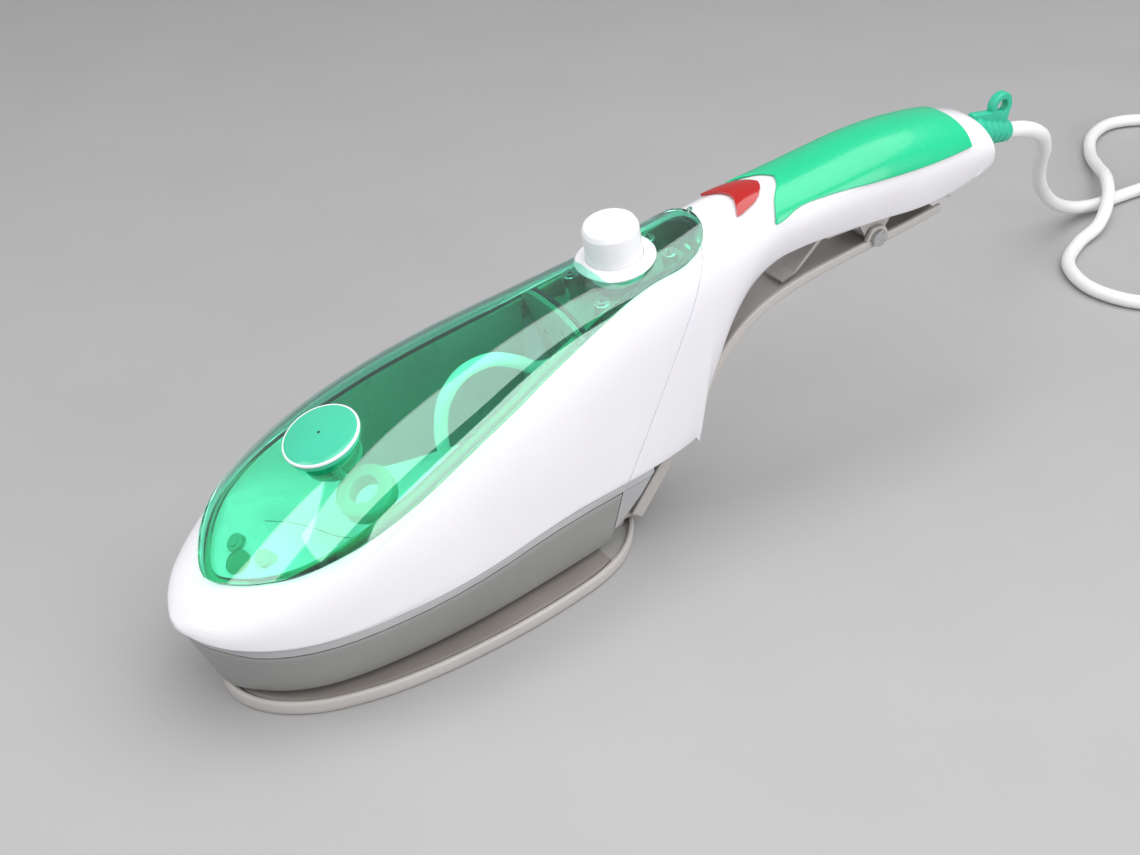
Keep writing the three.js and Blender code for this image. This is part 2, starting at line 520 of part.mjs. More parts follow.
// ---------- clamp ----------
// Line moved sideways by a distance that changes evenly from its first to its last point
const offsetLine = (points, first, last = first) => points.map(([x, z], i) => {
  const a = points[Math.max(i - 1, 0)];
  const b = points[Math.min(i + 1, points.length - 1)];
  const distance = first + ((last - first) * i) / (points.length - 1);
  const len = Math.hypot(b[0] - a[0], b[1] - a[1]);
  return [x - (distance * (b[1] - a[1])) / len, z + (distance * (b[0] - a[0])) / len];
});
const clampLever = () => {
  const inner = offsetLine(LEVER_LINE, LEVER.depth, LEVER.tailDepth);
  const trough = offsetLine(LEVER_LINE, LEVER.floor);
  const past = offsetLine(LEVER_LINE, LEVER.depth + 8);
  const bosses = sheet([[306, 102], [308.6, 96], [317.4, 96], [320, 102], [316.4, 103.4], [309.6, 103.4]], 2 * LEVER.half);
  const full = sheet(LEVER_LINE.concat(inner.slice().reverse()), 2 * LEVER.half).add(bosses);
  const cut = sheet(trough.slice(1).concat(past.slice(1).reverse()), 2 * (LEVER.half - LEVER.wall));
  const foot = sheet([[171, TRAY.floor + GAP], [186.4, TRAY.floor + GAP], [187.6, 6.2], [196.5, 6.2], [196.5, 9.4],
    [186.6, 9.4], [184, 4.6], [171, 4.6]], 2 * LEVER.half - 8);
  const screwHoles = [-5, 5].map((y) => disc(1.7, 0, 9, 8).translate([178, y, 0]));
  const pinHole = rodY(PIN.r + GAP, -30, 30, PIN.x, PIN.h + BASE_Z);
  return largest(full.subtract(cut).add(foot).subtract(union(screwHoles)).subtract(pinHole));
};
const pressTray = () => {
  const body = slab(outline(TRAY_PLAN), 0, TRAY.rim).subtract(slab(outline(TRAY_PLAN, TRAY.lip), TRAY.floor, 20));
  const screwHoles = [-5, 5].map((y) => disc(1.6, -2, 9, 8).translate([178, y, 0])
    .add(disc(3, -2, 0.9, 10).translate([178, y, 0])));
  return body.subtract(union(screwHoles));
};
const pressPlate = () => {
  const plan = TRAY_PLAN.filter(([x]) => x < 163).concat([[166, 27]]);
  return slab(outline(plan, 3.4), TRAY.floor + GAP, 4.6);
};
const leverScrews = () => [-5, 5].map((y) => disc(2.6, 0.2, 0.8, 10).add(disc(1.3, 0.7, 6.4, 8)).translate([178, y, 0]));
const bracket = () => {
  const plate = sheet([[286, 96.6], [352, 96.6], [356, 94.4], [357.4, 95.2], [353, 98.1], [286, 98.1]], 18);
  const ears = [-1, 1].map((s) => sheet([[304, 97], [309.4, 88.8], [313, 87.3], [316.6, 88.8], [322, 97]], 1.6, s * 8.3));
  const leaf = sheet([[286.6, 98], [272.5, 84.6], [266, 82.4], [266.4, 81.2], [273.4, 83.4], [288, 96.7]], 12);
  const holes = BRACKET_SCREW_X.map((x) => disc(1.9, 90, 100, 10).translate([x, 0, 0]));
  const pinHole = rodY(PIN.r + GAP, -30, 30, PIN.x, PIN.h);
  return plate.add(union(ears)).add(leaf).subtract(union(holes)).subtract(pinHole);
};
const bracketScrews = () => BRACKET_SCREW_X.map((x) => disc(1.5, 96, 105, 8).add(disc(3, 94.6, 96.2, 10)).translate([x, 0, 0]));
const coverScrews = () => COVER_SCREW_X.map((x) => disc(1.4, 99.4, 106, 8).translate([x, 0, 0]));
const hingePin = () => rodY(PIN.r, -12.2, 12.2, PIN.x, PIN.h, 14)
  .add(rodY(3.8, 11.9, PIN.half, PIN.x, PIN.h, 16)).add(rodY(3.8, -PIN.half, -11.9, PIN.x, PIN.h, 16));
const clampSpring = () => acrossY(ring(2.1, 3.2, -6.4, 6.4, 14), PIN.x, 0, PIN.h);

// ---------- free cord ----------
// Route of the mains cord from the guard to the coil: x, y, height above the floor
const CORD_PATH = [
  [397.7, 0, 119.7], [411, 0, 116.7], [426, 3, 109], [442, 12, 95], [460, 26, 77], [480, 40, 57],
  [502, 52, 38], [524, 60, 22], [546, 65, 11], [568, 67, 5], [592, 67, 3.8], [620, 65, 3.8], [646, 61, 3.8],
  [671.5, 63.5, 3.8], [691, 77.5, 3.8], [698, 101, 3.8], [687.5, 123.5, 3.8], [665, 133.5, 3.8],
  [641, 128, 3.8], [620, 112, 4], [604, 94, 7.4], [588, 76, 12], [571, 60.5, 10], [551, 49.5, 5.5],
  [527.5, 43.5, 3.8], [505.5, 31, 3.8], [496, 9, 3.8], [503.5, -13.5, 3.8], [524.5, -26.5, 3.8],
  [549, -24.5, 3.8], [570, -12, 3.8], [587, 3, 3.8], [601.5, 16.5, 5.2],
];
const COIL_OUT = COIL.mean + COIL.turnsWide * CORD_R;
const LEAD_Y = COIL.y - COIL_OUT + CORD_R;
const PLUG_X = 607;
const PLUG_Z = 9.6;
const cordLead = () => pipe([[COIL.x - 25.8, LEAD_Y, 5.6], [619, LEAD_Y, 7.4], [612, LEAD_Y, PLUG_Z - 0.3],
  [PLUG_X + GAP, LEAD_Y, PLUG_Z]], CORD_R, 8, 6);
const cordCoil = () => ring(COIL.mean - COIL.turnsWide * CORD_R, COIL_OUT, 1.5, 15.4, 36).translate([COIL.x, COIL.y, 0]);
const coilTie = () => {
  const r0 = COIL.mean - COIL.turnsWide * CORD_R - 0.7;
  const r1 = COIL_OUT + 0.5;
  return block(-5, 5, r0 - 1, r1 + 1, 0.1, 16.8).subtract(block(-9, 9, r0, r1, 1.1, 15.8))
    .translate([COIL.x, COIL.y, 0]);
};
const plugBody = () => {
  const profile = [[0, -44], [8.4, -44], [9, -42], [9, -24], [7.4, -17], [5.4, -12], [4.9, 0], [0, 0]];
  const body = turned(profile, 18).rotate([0, 90, 0]).translate([PLUG_X, LEAD_Y, PLUG_Z]);
  const sockets = [-5, 5].map((y) => plugPin(2.4, y, 36, 46));
  return body.subtract(union(sockets));
};
const plugPin = (r, y, from, to) => disc(r, -to, -from, 10).rotate([0, 90, 0]).translate([PLUG_X, LEAD_Y + y, PLUG_Z]);
const plugPins = () => [-5, 5].map((y) => plugPin(2, y, 36.4, 62));

// ---------- assembly ----------
const machine = new THREE.Group();
const steamer = new THREE.Group();
steamer.position.z = BASE_Z;
const clampParts = new THREE.Group();
const cord = new THREE.Group();
machine.add(steamer, clampParts, cord);

const add = (group, name, shape, material) => {
  const mesh = new THREE.Mesh(shape.isBufferGeometry ? shape : geometryOf(shape), material);
  mesh.name = name;
  group.add(mesh);
};
// Identical pieces: name_1, name_2, ...
const addEach = (group, name, shapes, material) => {
  shapes.forEach((shape, i) => add(group, `${name}_${i + 1}`, shape, material));
};

add(steamer, 'front_casing', bodyCasing(), WHITE);
add(steamer, 'handle_casing', handleCasing(), WHITE);
add(steamer, 'handle_cover', handleCover(), WHITE);
add(steamer, 'grip_cover', gripCover(), GREEN);
add(steamer, 'tank_cover', tankCover(), GREEN_CLEAR);
add(steamer, 'indicator_lens', indicatorLens(), RED);
add(steamer, 'tank_tray', tankTray(), MINT_CLEAR);
add(steamer, 'tank_bulkhead', bulkhead(), GREEN_CLEAR);
add(steamer, 'suction_tube', pipe(SUCTION, 2.5, 8, 20), SILICONE);
add(steamer, 'suction_filter', suctionFilter(), MINT_CLEAR);
add(steamer, 'filler_neck', fillerNeck(), GREEN);
add(steamer, 'filler_seal', fillerSeal(), SILICONE);
add(steamer, 'filler_cap', fillerCap(), GREEN);
add(steamer, 'pump_collar', pumpCollar(), WHITE);
add(steamer, 'pump_knob', pumpKnob(), WHITE);
add(steamer, 'pump_plunger', pumpPlunger(), WHITE);
add(steamer, 'piston_seal', pistonSeal(), DARK);
add(steamer, 'pump_cylinder', pumpCylinder(), GREEN_CLEAR);
add(steamer, 'pump_spring', pumpSpring(), STEEL);
add(steamer, 'inlet_valve', inletValve(), BRASS);
add(steamer, 'outlet_tube', pipe(OUTLET, 2.5, 8, 16), SILICONE);
add(steamer, 'base_frame', baseFrame(), LIGHT_GREY);
add(steamer, 'sole_skirt', soleSkirt(), MID_GREY);
add(steamer, 'soleplate', soleplate(), ALUMINIUM);
add(steamer, 'chamber_gasket', chamberGasket(), RUBBER);
add(steamer, 'chamber_cover', chamberCover(), ALUMINIUM);
add(steamer, 'steam_inlet', steamInlet(), BRASS);
add(steamer, 'heating_element', pipe(heaterPath, 3, 8, 22), STEEL);
add(steamer, 'thermostat', thermostat(), CERAMIC);
add(steamer, 'thermal_fuse', thermalFuse(), CERAMIC);
add(steamer, 'heat_shield', heatShield(), STEEL);
add(steamer, 'indicator_lamp', indicatorLamp(), clear(0xffa060, 0.7));
add(steamer, 'terminal_block', terminalBlock(), CERAMIC);
add(steamer, 'cord_clamp', cordClamp(), WHITE);
addEach(steamer, 'cord_clamp_screw', cordClampScrews(), STEEL);
add(steamer, 'cord_guard', cordGuard(), GREEN);
addEach(steamer, 'cover_screw', coverScrews(), STEEL);
add(steamer, 'clamp_bracket', bracket(), WARM_GREY);
addEach(steamer, 'bracket_screw', bracketScrews(), STEEL);
add(steamer, 'hinge_pin', hingePin(), STEEL);
add(steamer, 'clamp_spring', clampSpring(), STEEL);
add(clampParts, 'clamp_lever', clampLever(), WARM_GREY);
add(clampParts, 'press_tray', pressTray(), WARM_GREY);
add(clampParts, 'press_plate', pressPlate(), TAUPE);
addEach(clampParts, 'lever_screw', leverScrews(), STEEL);
add(cord, 'power_cord', pipe(CORD_PATH, CORD_R, 8, 66), WHITE);
add(cord, 'cord_coil', cordCoil(), WHITE);
add(cord, 'coil_tie', coilTie(), DARK);
add(cord, 'cord_lead', cordLead(), WHITE);
add(cord, 'plug_body', plugBody(), WHITE);
addEach(cord, 'plug_pin', plugPins(), BRASS);

// The origin is the middle of the underside of the steamer itself, without its cord
machine.updateMatrixWorld(true);
const box = new THREE.Box3().setFromObject(steamer).union(new THREE.Box3().setFromObject(clampParts));
machine.position.x = -(box.min.x + box.max.x) / 2;

export default machine;
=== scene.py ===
"""Looks of a hand-held garment steamer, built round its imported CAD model. Lengths below are millimetres
in the steamer's own frame: u from nose to tail, y across, h above the lower edge of the sole skirt."""
import bisect
import math

import bmesh
import bpy
from mathutils import Matrix, Vector


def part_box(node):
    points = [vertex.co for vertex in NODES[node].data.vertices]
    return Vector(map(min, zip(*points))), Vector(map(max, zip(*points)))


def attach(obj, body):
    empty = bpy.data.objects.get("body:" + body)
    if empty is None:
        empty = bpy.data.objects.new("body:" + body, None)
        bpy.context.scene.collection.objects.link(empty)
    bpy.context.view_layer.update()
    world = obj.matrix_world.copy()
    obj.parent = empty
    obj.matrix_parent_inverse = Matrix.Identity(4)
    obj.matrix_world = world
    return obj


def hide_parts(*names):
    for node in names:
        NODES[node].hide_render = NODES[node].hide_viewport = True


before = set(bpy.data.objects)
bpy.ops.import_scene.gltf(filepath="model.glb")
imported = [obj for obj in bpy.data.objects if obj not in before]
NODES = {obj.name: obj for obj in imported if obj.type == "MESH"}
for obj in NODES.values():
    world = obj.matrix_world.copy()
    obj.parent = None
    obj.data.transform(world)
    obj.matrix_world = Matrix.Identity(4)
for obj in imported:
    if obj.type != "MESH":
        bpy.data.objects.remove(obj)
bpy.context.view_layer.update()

# ---------- frame and sizes ----------
MM = 0.001
BASE_Z = 8.4
TRAY_FRONT = 13.4
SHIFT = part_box("press_tray")[0][0] / MM - TRAY_FRONT
SKIRT_H = 28.1
RIM_H = 31.9
NOSE_U = -2.0
SPLIT = (213.0, 110.0, 0.47)         # plane between front and handle casings: u, h, du per dh
TAIL_TOP = (367.0, 128.0)
TAIL_LOW = (376.0, 104.0)
CAP = (60.2, 87.4, 20.6)             # u, h, tilt in degrees
KNOB = (186.0, 116.0, 11.2)
CORD_R = 3.5
COIL = (652.0, 4.0)                  # middle of the coil on the floor: u, y
INNER, MIDDLE, OUTER = 31.5, 38.5, 45.5      # radii of the coil's three lanes
CAMERA_AT = (-134.66, -420.46, 416.13)       # u, y, height above the floor

# Ribs of the outer body: u, lower edge, top, height of the widest point,
# half width there, half width at the lower edge, roundness of the arch
RIBS = [
    (-2, 31.9, 33.3, 32.6, 0.5, 0.3, 2.9), (0, 31.9, 36.2, 32.8, 9.2, 6.2, 2.9),
    (3, 31.9, 39.2, 33, 15.8, 13.4, 2.9), (8, 31.9, 43.4, 33.2, 22.8, 20.8, 2.9),
    (15, 31.9, 49, 33.4, 29, 27.5, 2.9), (25, 31.9, 57.2, 33.6, 34.8, 33.6, 2.9),
    (40, 31.9, 69.4, 33.8, 39.3, 38.2, 2.9), (53, 31.9, 78.4, 34.4, 40.7, 39.8, 2.9),
    (65, 31.9, 85.2, 35, 40.8, 40, 2.9), (80, 31.9, 91.8, 36, 40, 39.6, 2.9),
    (95, 31.9, 97, 38, 38.4, 38.1, 2.92), (111, 31.9, 101.4, 41, 35.8, 35.5, 2.95),
    (130, 31.9, 105.9, 45, 31.6, 31.4, 3), (150, 31.9, 109.6, 52, 27.8, 27.6, 3),
    (170, 31.9, 112.6, 62, 25.4, 25.2, 3), (189, 31.9, 115.2, 74, 23.6, 22.8, 3),
    (207, 31.9, 118.9, 86, 21.4, 19.2, 2.8), (225, 55.5, 122.8, 97, 19.3, 14.4, 2.5),
    (240, 87.5, 125.1, 107, 18.2, 13.6, 2.3), (250, 96.4, 126.1, 111.5, 17.6, 13.5, 2.25),
    (265, 100.6, 127.5, 113.5, 17.7, 13.8, 2.25), (285, 101, 130, 115, 18, 14, 2.25),
    (310, 100.2, 132.8, 116, 18.5, 14.2, 2.25), (335, 99, 132.6, 116, 18.5, 14.2, 2.25),
    (352, 100.4, 130.6, 116, 18.2, 14, 2.25), (368, 103, 127, 115, 17.2, 13.2, 2.25),
    (392, 108, 118, 113, 13.5, 10.5, 2.25),
]
# Rear edge of the neck and underside of the handle: u, h
NECK = [(216, 31.9), (219.5, 31.9), (220.4, 39), (221.8, 46.5), (224, 53.5), (227, 61), (232.6, 75),
        (237, 83.4), (242, 90.3), (248, 95.4), (256, 99.2), (267, 100.8), (285, 101), (310, 100.2),
        (335, 99), (352, 100.4), (368, 103), (392, 108)]
# Window outline seen from above, front end first: u, half width
WINDOW = [(12.4, 0), (13.4, 5.5), (16.2, 11.6), (21, 19), (33.6, 30), (50, 35.2), (69, 35.9), (91, 33.6),
          (115, 29.3), (140, 23.8), (165, 19.4), (190, 16.2), (207, 15.6), (215, 13.4), (220, 8.8),
          (221.8, 4), (222.2, 0)]
SKIRT_LOW = [(12.2, 0), (13.2, 4.8), (15.8, 8.8), (20, 13.2), (28.7, 20), (40, 25), (53, 27.6), (68, 28.7),
             (82, 28.8), (98, 28.2), (114, 26.8), (132, 24.6), (150, 22), (170, 18.6), (190, 14.4)]
SKIRT_TOP = [(0.9, 0), (1.6, 5.6), (3.4, 10.8), (7, 16.6), (14.9, 26.6), (25, 33.1), (36.3, 37.1), (49, 39.2),
             (63, 39.8), (78, 39.5), (94, 38), (110, 35.5), (130, 31.2), (150, 27.6), (170, 25.1),
             (190, 22.4)]
TRAY_PLAN = [(13.4, 0), (14, 5.6), (17.2, 13.4), (26.2, 23), (37, 29.2), (49.2, 33), (62, 35.6), (76.4, 37),
             (92, 37.4), (107.2, 37), (125, 35.6), (142, 33.4), (162, 29.4), (172, 25.6), (181, 19.8),
             (188, 13), (192, 7.4), (194, 0)]
# Outer line of the clamp lever: u, height above the floor
LEVER_LINE = [(194.6, 6.2), (199.5, 13.4), (205.9, 22.8), (212, 31.2), (218.4, 40), (224.4, 49.4),
              (231, 61.4), (236, 68.4), (242.4, 75), (251, 81), (262, 85.4), (275, 88.6), (297.7, 92),
              (325.8, 95), (350, 98.6)]
# Route of the suction hose from the tank's floor to the pump: u, y, h
SUCTION = [(112, 4, 52), (110, 4, 66), (112, 3.4, 80), (119, 2, 89), (130, 0.6, 91.5), (141, 0, 87),
           (150, 0, 81), (160, 0, 79.5), (185, 0, 79.5)]
# Route of the mains cord from the guard to the coil: u, y, height above the floor
CORD_PATH = [
    (397.7, 0, 119.7), (411, 0, 116.7), (426, 3, 109), (442, 12, 95), (460, 26, 77), (480, 40, 57),
    (502, 52, 38), (524, 60, 22), (546, 65, 11), (568, 67, 5), (592, 67, 3.8), (620, 65, 3.8), (646, 61, 3.8),
    (671.5, 63.5, 3.8), (691, 77.5, 3.8), (698, 101, 3.8), (687.5, 123.5, 3.8), (665, 133.5, 3.8),
    (641, 128, 3.8), (620, 112, 4), (604, 94, 7.4), (588, 76, 12), (571, 60.5, 10), (551, 49.5, 5.5),
    (527.5, 43.5, 3.8), (505.5, 31, 3.8), (496, 9, 3.8), (503.5, -13.5, 3.8), (524.5, -26.5, 3.8),
    (549, -24.5, 3.8), (570, -12, 3.8), (587, 3, 3.8), (601.5, 16.5, 5.2),
]


def at(u, y, h):
    """Point of the steamer: h counts from the lower edge of the sole skirt."""
    return Vector(((u + SHIFT) * MM, y * MM, (h + BASE_Z) * MM))


def over(u, y, z):
    """Point at height z above the floor."""
    return Vector(((u + SHIFT) * MM, y * MM, z * MM))


# ---------- camera, before everything else ----------
def make_camera():
    data = bpy.data.cameras.new("camera")
    cam = bpy.data.objects.new("camera", data)
    bpy.context.scene.collection.objects.link(cam)
    look = Vector((0.47673, 0.66786, -0.57158))
    right = Vector((0.81391, -0.58099, 0.0))
    up = right.cross(look)
    place = over(*CAMERA_AT)
    cam.matrix_world = Matrix((
        (right.x, up.x, -look.x, place.x),
        (right.y, up.y, -look.y, place.y),
        (right.z, up.z, -look.z, place.z),
        (0, 0, 0, 1),
    ))
    data.lens = 51.25
    data.sensor_width = 36
    data.clip_start = 0.01
    data.clip_end = 20
    bpy.context.scene.camera = cam


make_camera()


# ---------- curves ----------
def smooth(points, x, k=1):
    """Smooth curve through the points' k-th values at x."""
    n = len(points)
    i = min(max(bisect.bisect_right([p[0] for p in points], x) - 1, 0), n - 2)

    def step(j):
        return (points[j + 1][k] - points[j][k]) / (points[j + 1][0] - points[j][0])

    def slope(j):
        if j == 0:
            return step(0)
        if j == n - 1:
            return step(n - 2)
        before = points[j][0] - points[j - 1][0]
        after = points[j + 1][0] - points[j][0]
        return (step(j - 1) * after + step(j) * before) / (before + after)

    h = points[i + 1][0] - points[i][0]
    t = (x - points[i][0]) / h
    return (points[i][k] * (1 + 2 * t) * (1 - t) ** 2 + h * slope(i) * t * (1 - t) ** 2
            + points[i + 1][k] * t * t * (3 - 2 * t) + h * slope(i + 1) * t * t * (t - 1))


def spline(points, per_span=12):
    """Centripetal Catmull-Rom curve through points of any dimension."""
    pts = [Vector(p) for p in points]
    pts = [pts[0] * 2 - pts[1]] + pts + [pts[-1] * 2 - pts[-2]]
    out = []
    for a, b, c, d in zip(pts, pts[1:], pts[2:], pts[3:]):
        t1 = math.sqrt((b - a).length)
        t2 = t1 + math.sqrt((c - b).length)
        t3 = t2 + math.sqrt((d - c).length)
        for i in range(per_span):
            t = t1 + (t2 - t1) * i / per_span
            a1 = a * ((t1 - t) / t1) + b * (t / t1)
            a2 = b * ((t2 - t) / (t2 - t1)) + c * ((t - t1) / (t2 - t1))
            a3 = c * ((t3 - t) / (t3 - t2)) + d * ((t - t2) / (t3 - t2))
            b1 = a1 * ((t2 - t) / t2) + a2 * (t / t2)
            b2 = a2 * ((t3 - t) / (t3 - t1)) + a3 * ((t - t1) / (t3 - t1))
            out.append(b1 * ((t2 - t) / (t2 - t1)) + b2 * ((t - t1) / (t2 - t1)))
    out.append(pts[-2])
    return out


def rounded(profile, radius, steps=4, closed=False):
    """Polyline with its inner corners rounded; a corner may give its own radius as a third value."""
    n = len(profile)
    out = []
    for i, p in enumerate(profile):
        r = p[2] if len(p) > 2 else radius
        b = Vector(p[:2])
        if (not closed and i in (0, n - 1)) or r <= 0:
            out.append(tuple(b))
            continue
        a = Vector(profile[i - 1][:2]) - b
        c = Vector(profile[(i + 1) % n][:2]) - b
        la, lc = a.length, c.length
        a.normalize()
        c.normalize()
        angle = a.angle(c, math.pi)
        if angle > math.pi - 0.05:
            out.append(tuple(b))
            continue
        cut = min(r / math.tan(angle / 2), la * 0.48, lc * 0.48)
        start, end = b + a * cut, b + c * cut
        for k in range(steps + 1):
            t = k / steps
            out.append(tuple(start * (1 - t) ** 2 + b * 2 * t * (1 - t) + end * t * t))
    return out


# ---------- meshes ----------
def obj_from(name, verts, faces, material, body=None, nodes=(), sharp=40, flip=False):
    mesh = bpy.data.meshes.new(name)
    mesh.from_pydata([tuple(v) for v in verts], [], faces)
    bm = bmesh.new()
    bm.from_mesh(mesh)
    bmesh.ops.remove_doubles(bm, verts=bm.verts, dist=2e-6)
    bmesh.ops.dissolve_degenerate(bm, edges=bm.edges, dist=1e-6)
    if not any(e.is_boundary for e in bm.edges):
        bmesh.ops.recalc_face_normals(bm, faces=bm.faces)
    if flip:
        bmesh.ops.reverse_faces(bm, faces=bm.faces)
    bm.to_mesh(mesh)
    bm.free()
    obj = bpy.data.objects.new(name, mesh)
    bpy.context.scene.collection.objects.link(obj)
    mesh.materials.append(material)
    shade(obj, sharp)
    if body:
        own(obj, body, nodes)
    return obj


def own(obj, body, nodes=()):
    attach(obj, body)
    if nodes:
        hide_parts(*nodes)


def shade(obj, sharp):
    obj.data.shade_smooth()
    obj.data.set_sharp_from_angle(angle=math.radians(sharp))


def apply_modifiers(obj, sharp=40):
    graph = bpy.context.evaluated_depsgraph_get()
    mesh = bpy.data.meshes.new_from_object(obj.evaluated_get(graph))
    obj.modifiers.clear()
    obj.data = mesh
    shade(obj, sharp)


def thicken(obj, thickness, bevel=0.0, angle=50, segments=2, sharp=40):
    m = obj.modifiers.new("wall", "SOLIDIFY")
    m.thickness = thickness * MM
    m.offset = -1
    m.use_even_offset = True
    apply_modifiers(obj, sharp)
    if bevel:
        soften(obj, bevel, angle, segments, sharp)


def soften(obj, bevel, angle=40, segments=2, sharp=40):
    m = obj.modifiers.new("edge", "BEVEL")
    m.width = bevel * MM
    m.segments = segments
    m.limit_method = "ANGLE"
    m.angle_limit = math.radians(angle)
    m.use_clamp_overlap = True
    apply_modifiers(obj, sharp)


def carve(obj, cutter, operation="DIFFERENCE", sharp=40):
    m = obj.modifiers.new("cut", "BOOLEAN")
    m.operation = operation
    m.solver = "EXACT"
    m.object = cutter
    apply_modifiers(obj, sharp)
    bpy.data.objects.remove(cutter)


def grid(rows, close=False, wrap=False):
    """Faces between rows of points. wrap closes each row, close joins the last row to the first."""
    count = len(rows[0])
    verts = [p for row in rows for p in row]
    faces = []
    for r in range(len(rows) if close else len(rows) - 1):
        nxt = (r + 1) % len(rows)
        for i in range(count if wrap else count - 1):
            j = (i + 1) % count
            faces.append((r * count + i, r * count + j, nxt * count + j, nxt * count + i))
    return verts, faces


def caps(rows, verts, faces):
    """Closes the two ends of a wrapped grid."""
    count = len(rows[0])
    faces.append(tuple(reversed(range(count))))
    last = (len(rows) - 1) * count
    faces.append(tuple(range(last, last + count)))
    return verts, faces


def prism(name, outline, y0, y1, place=at):
    """Closed solid with a side outline (u, h) from y0 to y1."""
    rows = [[place(u, y, h) for u, h in outline] for y in (y0, y1)]
    verts, faces = caps(rows, *grid(rows, wrap=True))
    mesh = bpy.data.meshes.new(name)
    mesh.from_pydata([tuple(v) for v in verts], [], faces)
    bm = bmesh.new()
    bm.from_mesh(mesh)
    bmesh.ops.recalc_face_normals(bm, faces=bm.faces)
    bm.to_mesh(mesh)
    bm.free()
    obj = bpy.data.objects.new(name, mesh)
    bpy.context.scene.collection.objects.link(obj)
    return obj


def tilted(where):
    """Matrix of a turned piece on the dome: its axis leans forward by the tilt."""
    u, h, tilt = where
    return Matrix.Translation(at(u, 0, h)) @ Matrix.Rotation(math.radians(-tilt), 4, "Y")


def turned(name, profile, matrix, material, body, nodes=(), sides=72, sharp=40):
    """Turned piece from a (radius, height) line in millimetres, about the matrix's Z."""
    rows = []
    for r, z in profile:
        rows.append([matrix @ Vector((r * MM * math.cos(a), r * MM * math.sin(a), z * MM))
                     for a in (2 * math.pi * k / sides for k in range(sides))])
    verts, faces = grid(rows, wrap=True)
    return obj_from(name, verts, faces, material, body, nodes, sharp)


def tube(name, points, radius, material, body, nodes=(), sides=20, taper=None):
    """Round tube along points, in metres, with flat ends."""
    rows = []
    side = None
    for i, p in enumerate(points):
        ahead = points[min(i + 1, len(points) - 1)] - points[max(i - 1, 0)]
        ahead.normalize()
        if side is None:
            side = ahead.cross(Vector((0, 0, 1)) if abs(ahead.z) < 0.9 else Vector((0, 1, 0))).normalized()
        side = (side - ahead * side.dot(ahead)).normalized()
        other = ahead.cross(side)
        r = radius * (taper(i / (len(points) - 1)) if taper else 1)
        rows.append([p + (side * math.cos(a) + other * math.sin(a)) * r
                     for a in (2 * math.pi * k / sides for k in range(sides))])
    verts, faces = caps(rows, *grid(rows, wrap=True))
    return obj_from(name, verts, faces, material, body, nodes)


# ---------- materials ----------
def material(name):
    mat = bpy.data.materials.new(name)
    mat.use_nodes = True
    tree = mat.node_tree
    return mat, tree, tree.nodes["Principled BSDF"]


def noise(tree, scale, detail=3.0):
    """Noise fixed to the piece, with its scale in repeats per metre."""
    where = tree.nodes.new("ShaderNodeTexCoord")
    n = tree.nodes.new("ShaderNodeTexNoise")
    n.inputs["Scale"].default_value = scale
    n.inputs["Detail"].default_value = detail
    tree.links.new(where.outputs["Object"], n.inputs["Vector"])
    return n.outputs["Fac"]


def ramp(tree, value, low, high, start=0.35, end=0.65):
    r = tree.nodes.new("ShaderNodeValToRGB")
    r.color_ramp.elements[0].position = start
    r.color_ramp.elements[1].position = end
    r.color_ramp.elements[0].color = (*low, 1)
    r.color_ramp.elements[1].color = (*high, 1)
    tree.links.new(value, r.inputs["Fac"])
    return r.outputs["Color"]


def spread(tree, value, low, high):
    m = tree.nodes.new("ShaderNodeMapRange")
    m.inputs["From Min"].default_value = 0.3
    m.inputs["From Max"].default_value = 0.7
    m.inputs["To Min"].default_value = low
    m.inputs["To Max"].default_value = high
    tree.links.new(value, m.inputs["Value"])
    return m.outputs["Result"]


def bump(tree, shader, value, distance, strength=1.0):
    b = tree.nodes.new("ShaderNodeBump")
    b.inputs["Strength"].default_value = strength
    b.inputs["Distance"].default_value = distance
    tree.links.new(value, b.inputs["Height"])
    tree.links.new(b.outputs["Normal"], shader.inputs["Normal"])


def moulded(name, low, high, rough, coat=0.0, grain=0.0, grain_scale=900.0, subsurface=0.0):
    """Moulded plastic: a slight drift of tone, uneven gloss and a fine surface grain."""
    mat, tree, s = material(name)
    tree.links.new(ramp(tree, noise(tree, 14), low, high), s.inputs["Base Color"])
    tree.links.new(spread(tree, noise(tree, 60, 4), rough[0], rough[1]), s.inputs["Roughness"])
    s.inputs["IOR"].default_value = 1.5
    s.inputs["Coat Weight"].default_value = coat
    s.inputs["Coat Roughness"].default_value = 0.04
    s.inputs["Subsurface Weight"].default_value = subsurface
    s.inputs["Subsurface Scale"].default_value = 0.004
    if grain:
        bump(tree, s, noise(tree, grain_scale, 2), grain * MM)
    return mat


def clear(name, tint, shadow, rough=0.03, ior=1.45, specular=0.5, coat=0.0):
    """Clear tinted plastic; lamps reach what is behind it in the shadow tint."""
    mat, tree, s = material(name)
    tree.links.new(ramp(tree, noise(tree, 9), tint[0], tint[1]), s.inputs["Base Color"])
    s.inputs["Roughness"].default_value = rough
    s.inputs["IOR"].default_value = ior
    s.inputs["Transmission Weight"].default_value = 1.0
    s.inputs["Specular IOR Level"].default_value = specular
    s.inputs["Coat Weight"].default_value = coat
    s.inputs["Coat IOR"].default_value = 1.7
    path = tree.nodes.new("ShaderNodeLightPath")
    through = tree.nodes.new("ShaderNodeBsdfTransparent")
    through.inputs["Color"].default_value = (*shadow, 1)
    mix = tree.nodes.new("ShaderNodeMixShader")
    tree.links.new(path.outputs["Is Shadow Ray"], mix.inputs["Fac"])
    tree.links.new(s.outputs["BSDF"], mix.inputs[1])
    tree.links.new(through.outputs["BSDF"], mix.inputs[2])
    tree.links.new(mix.outputs["Shader"], tree.nodes["Material Output"].inputs["Surface"])
    return mat


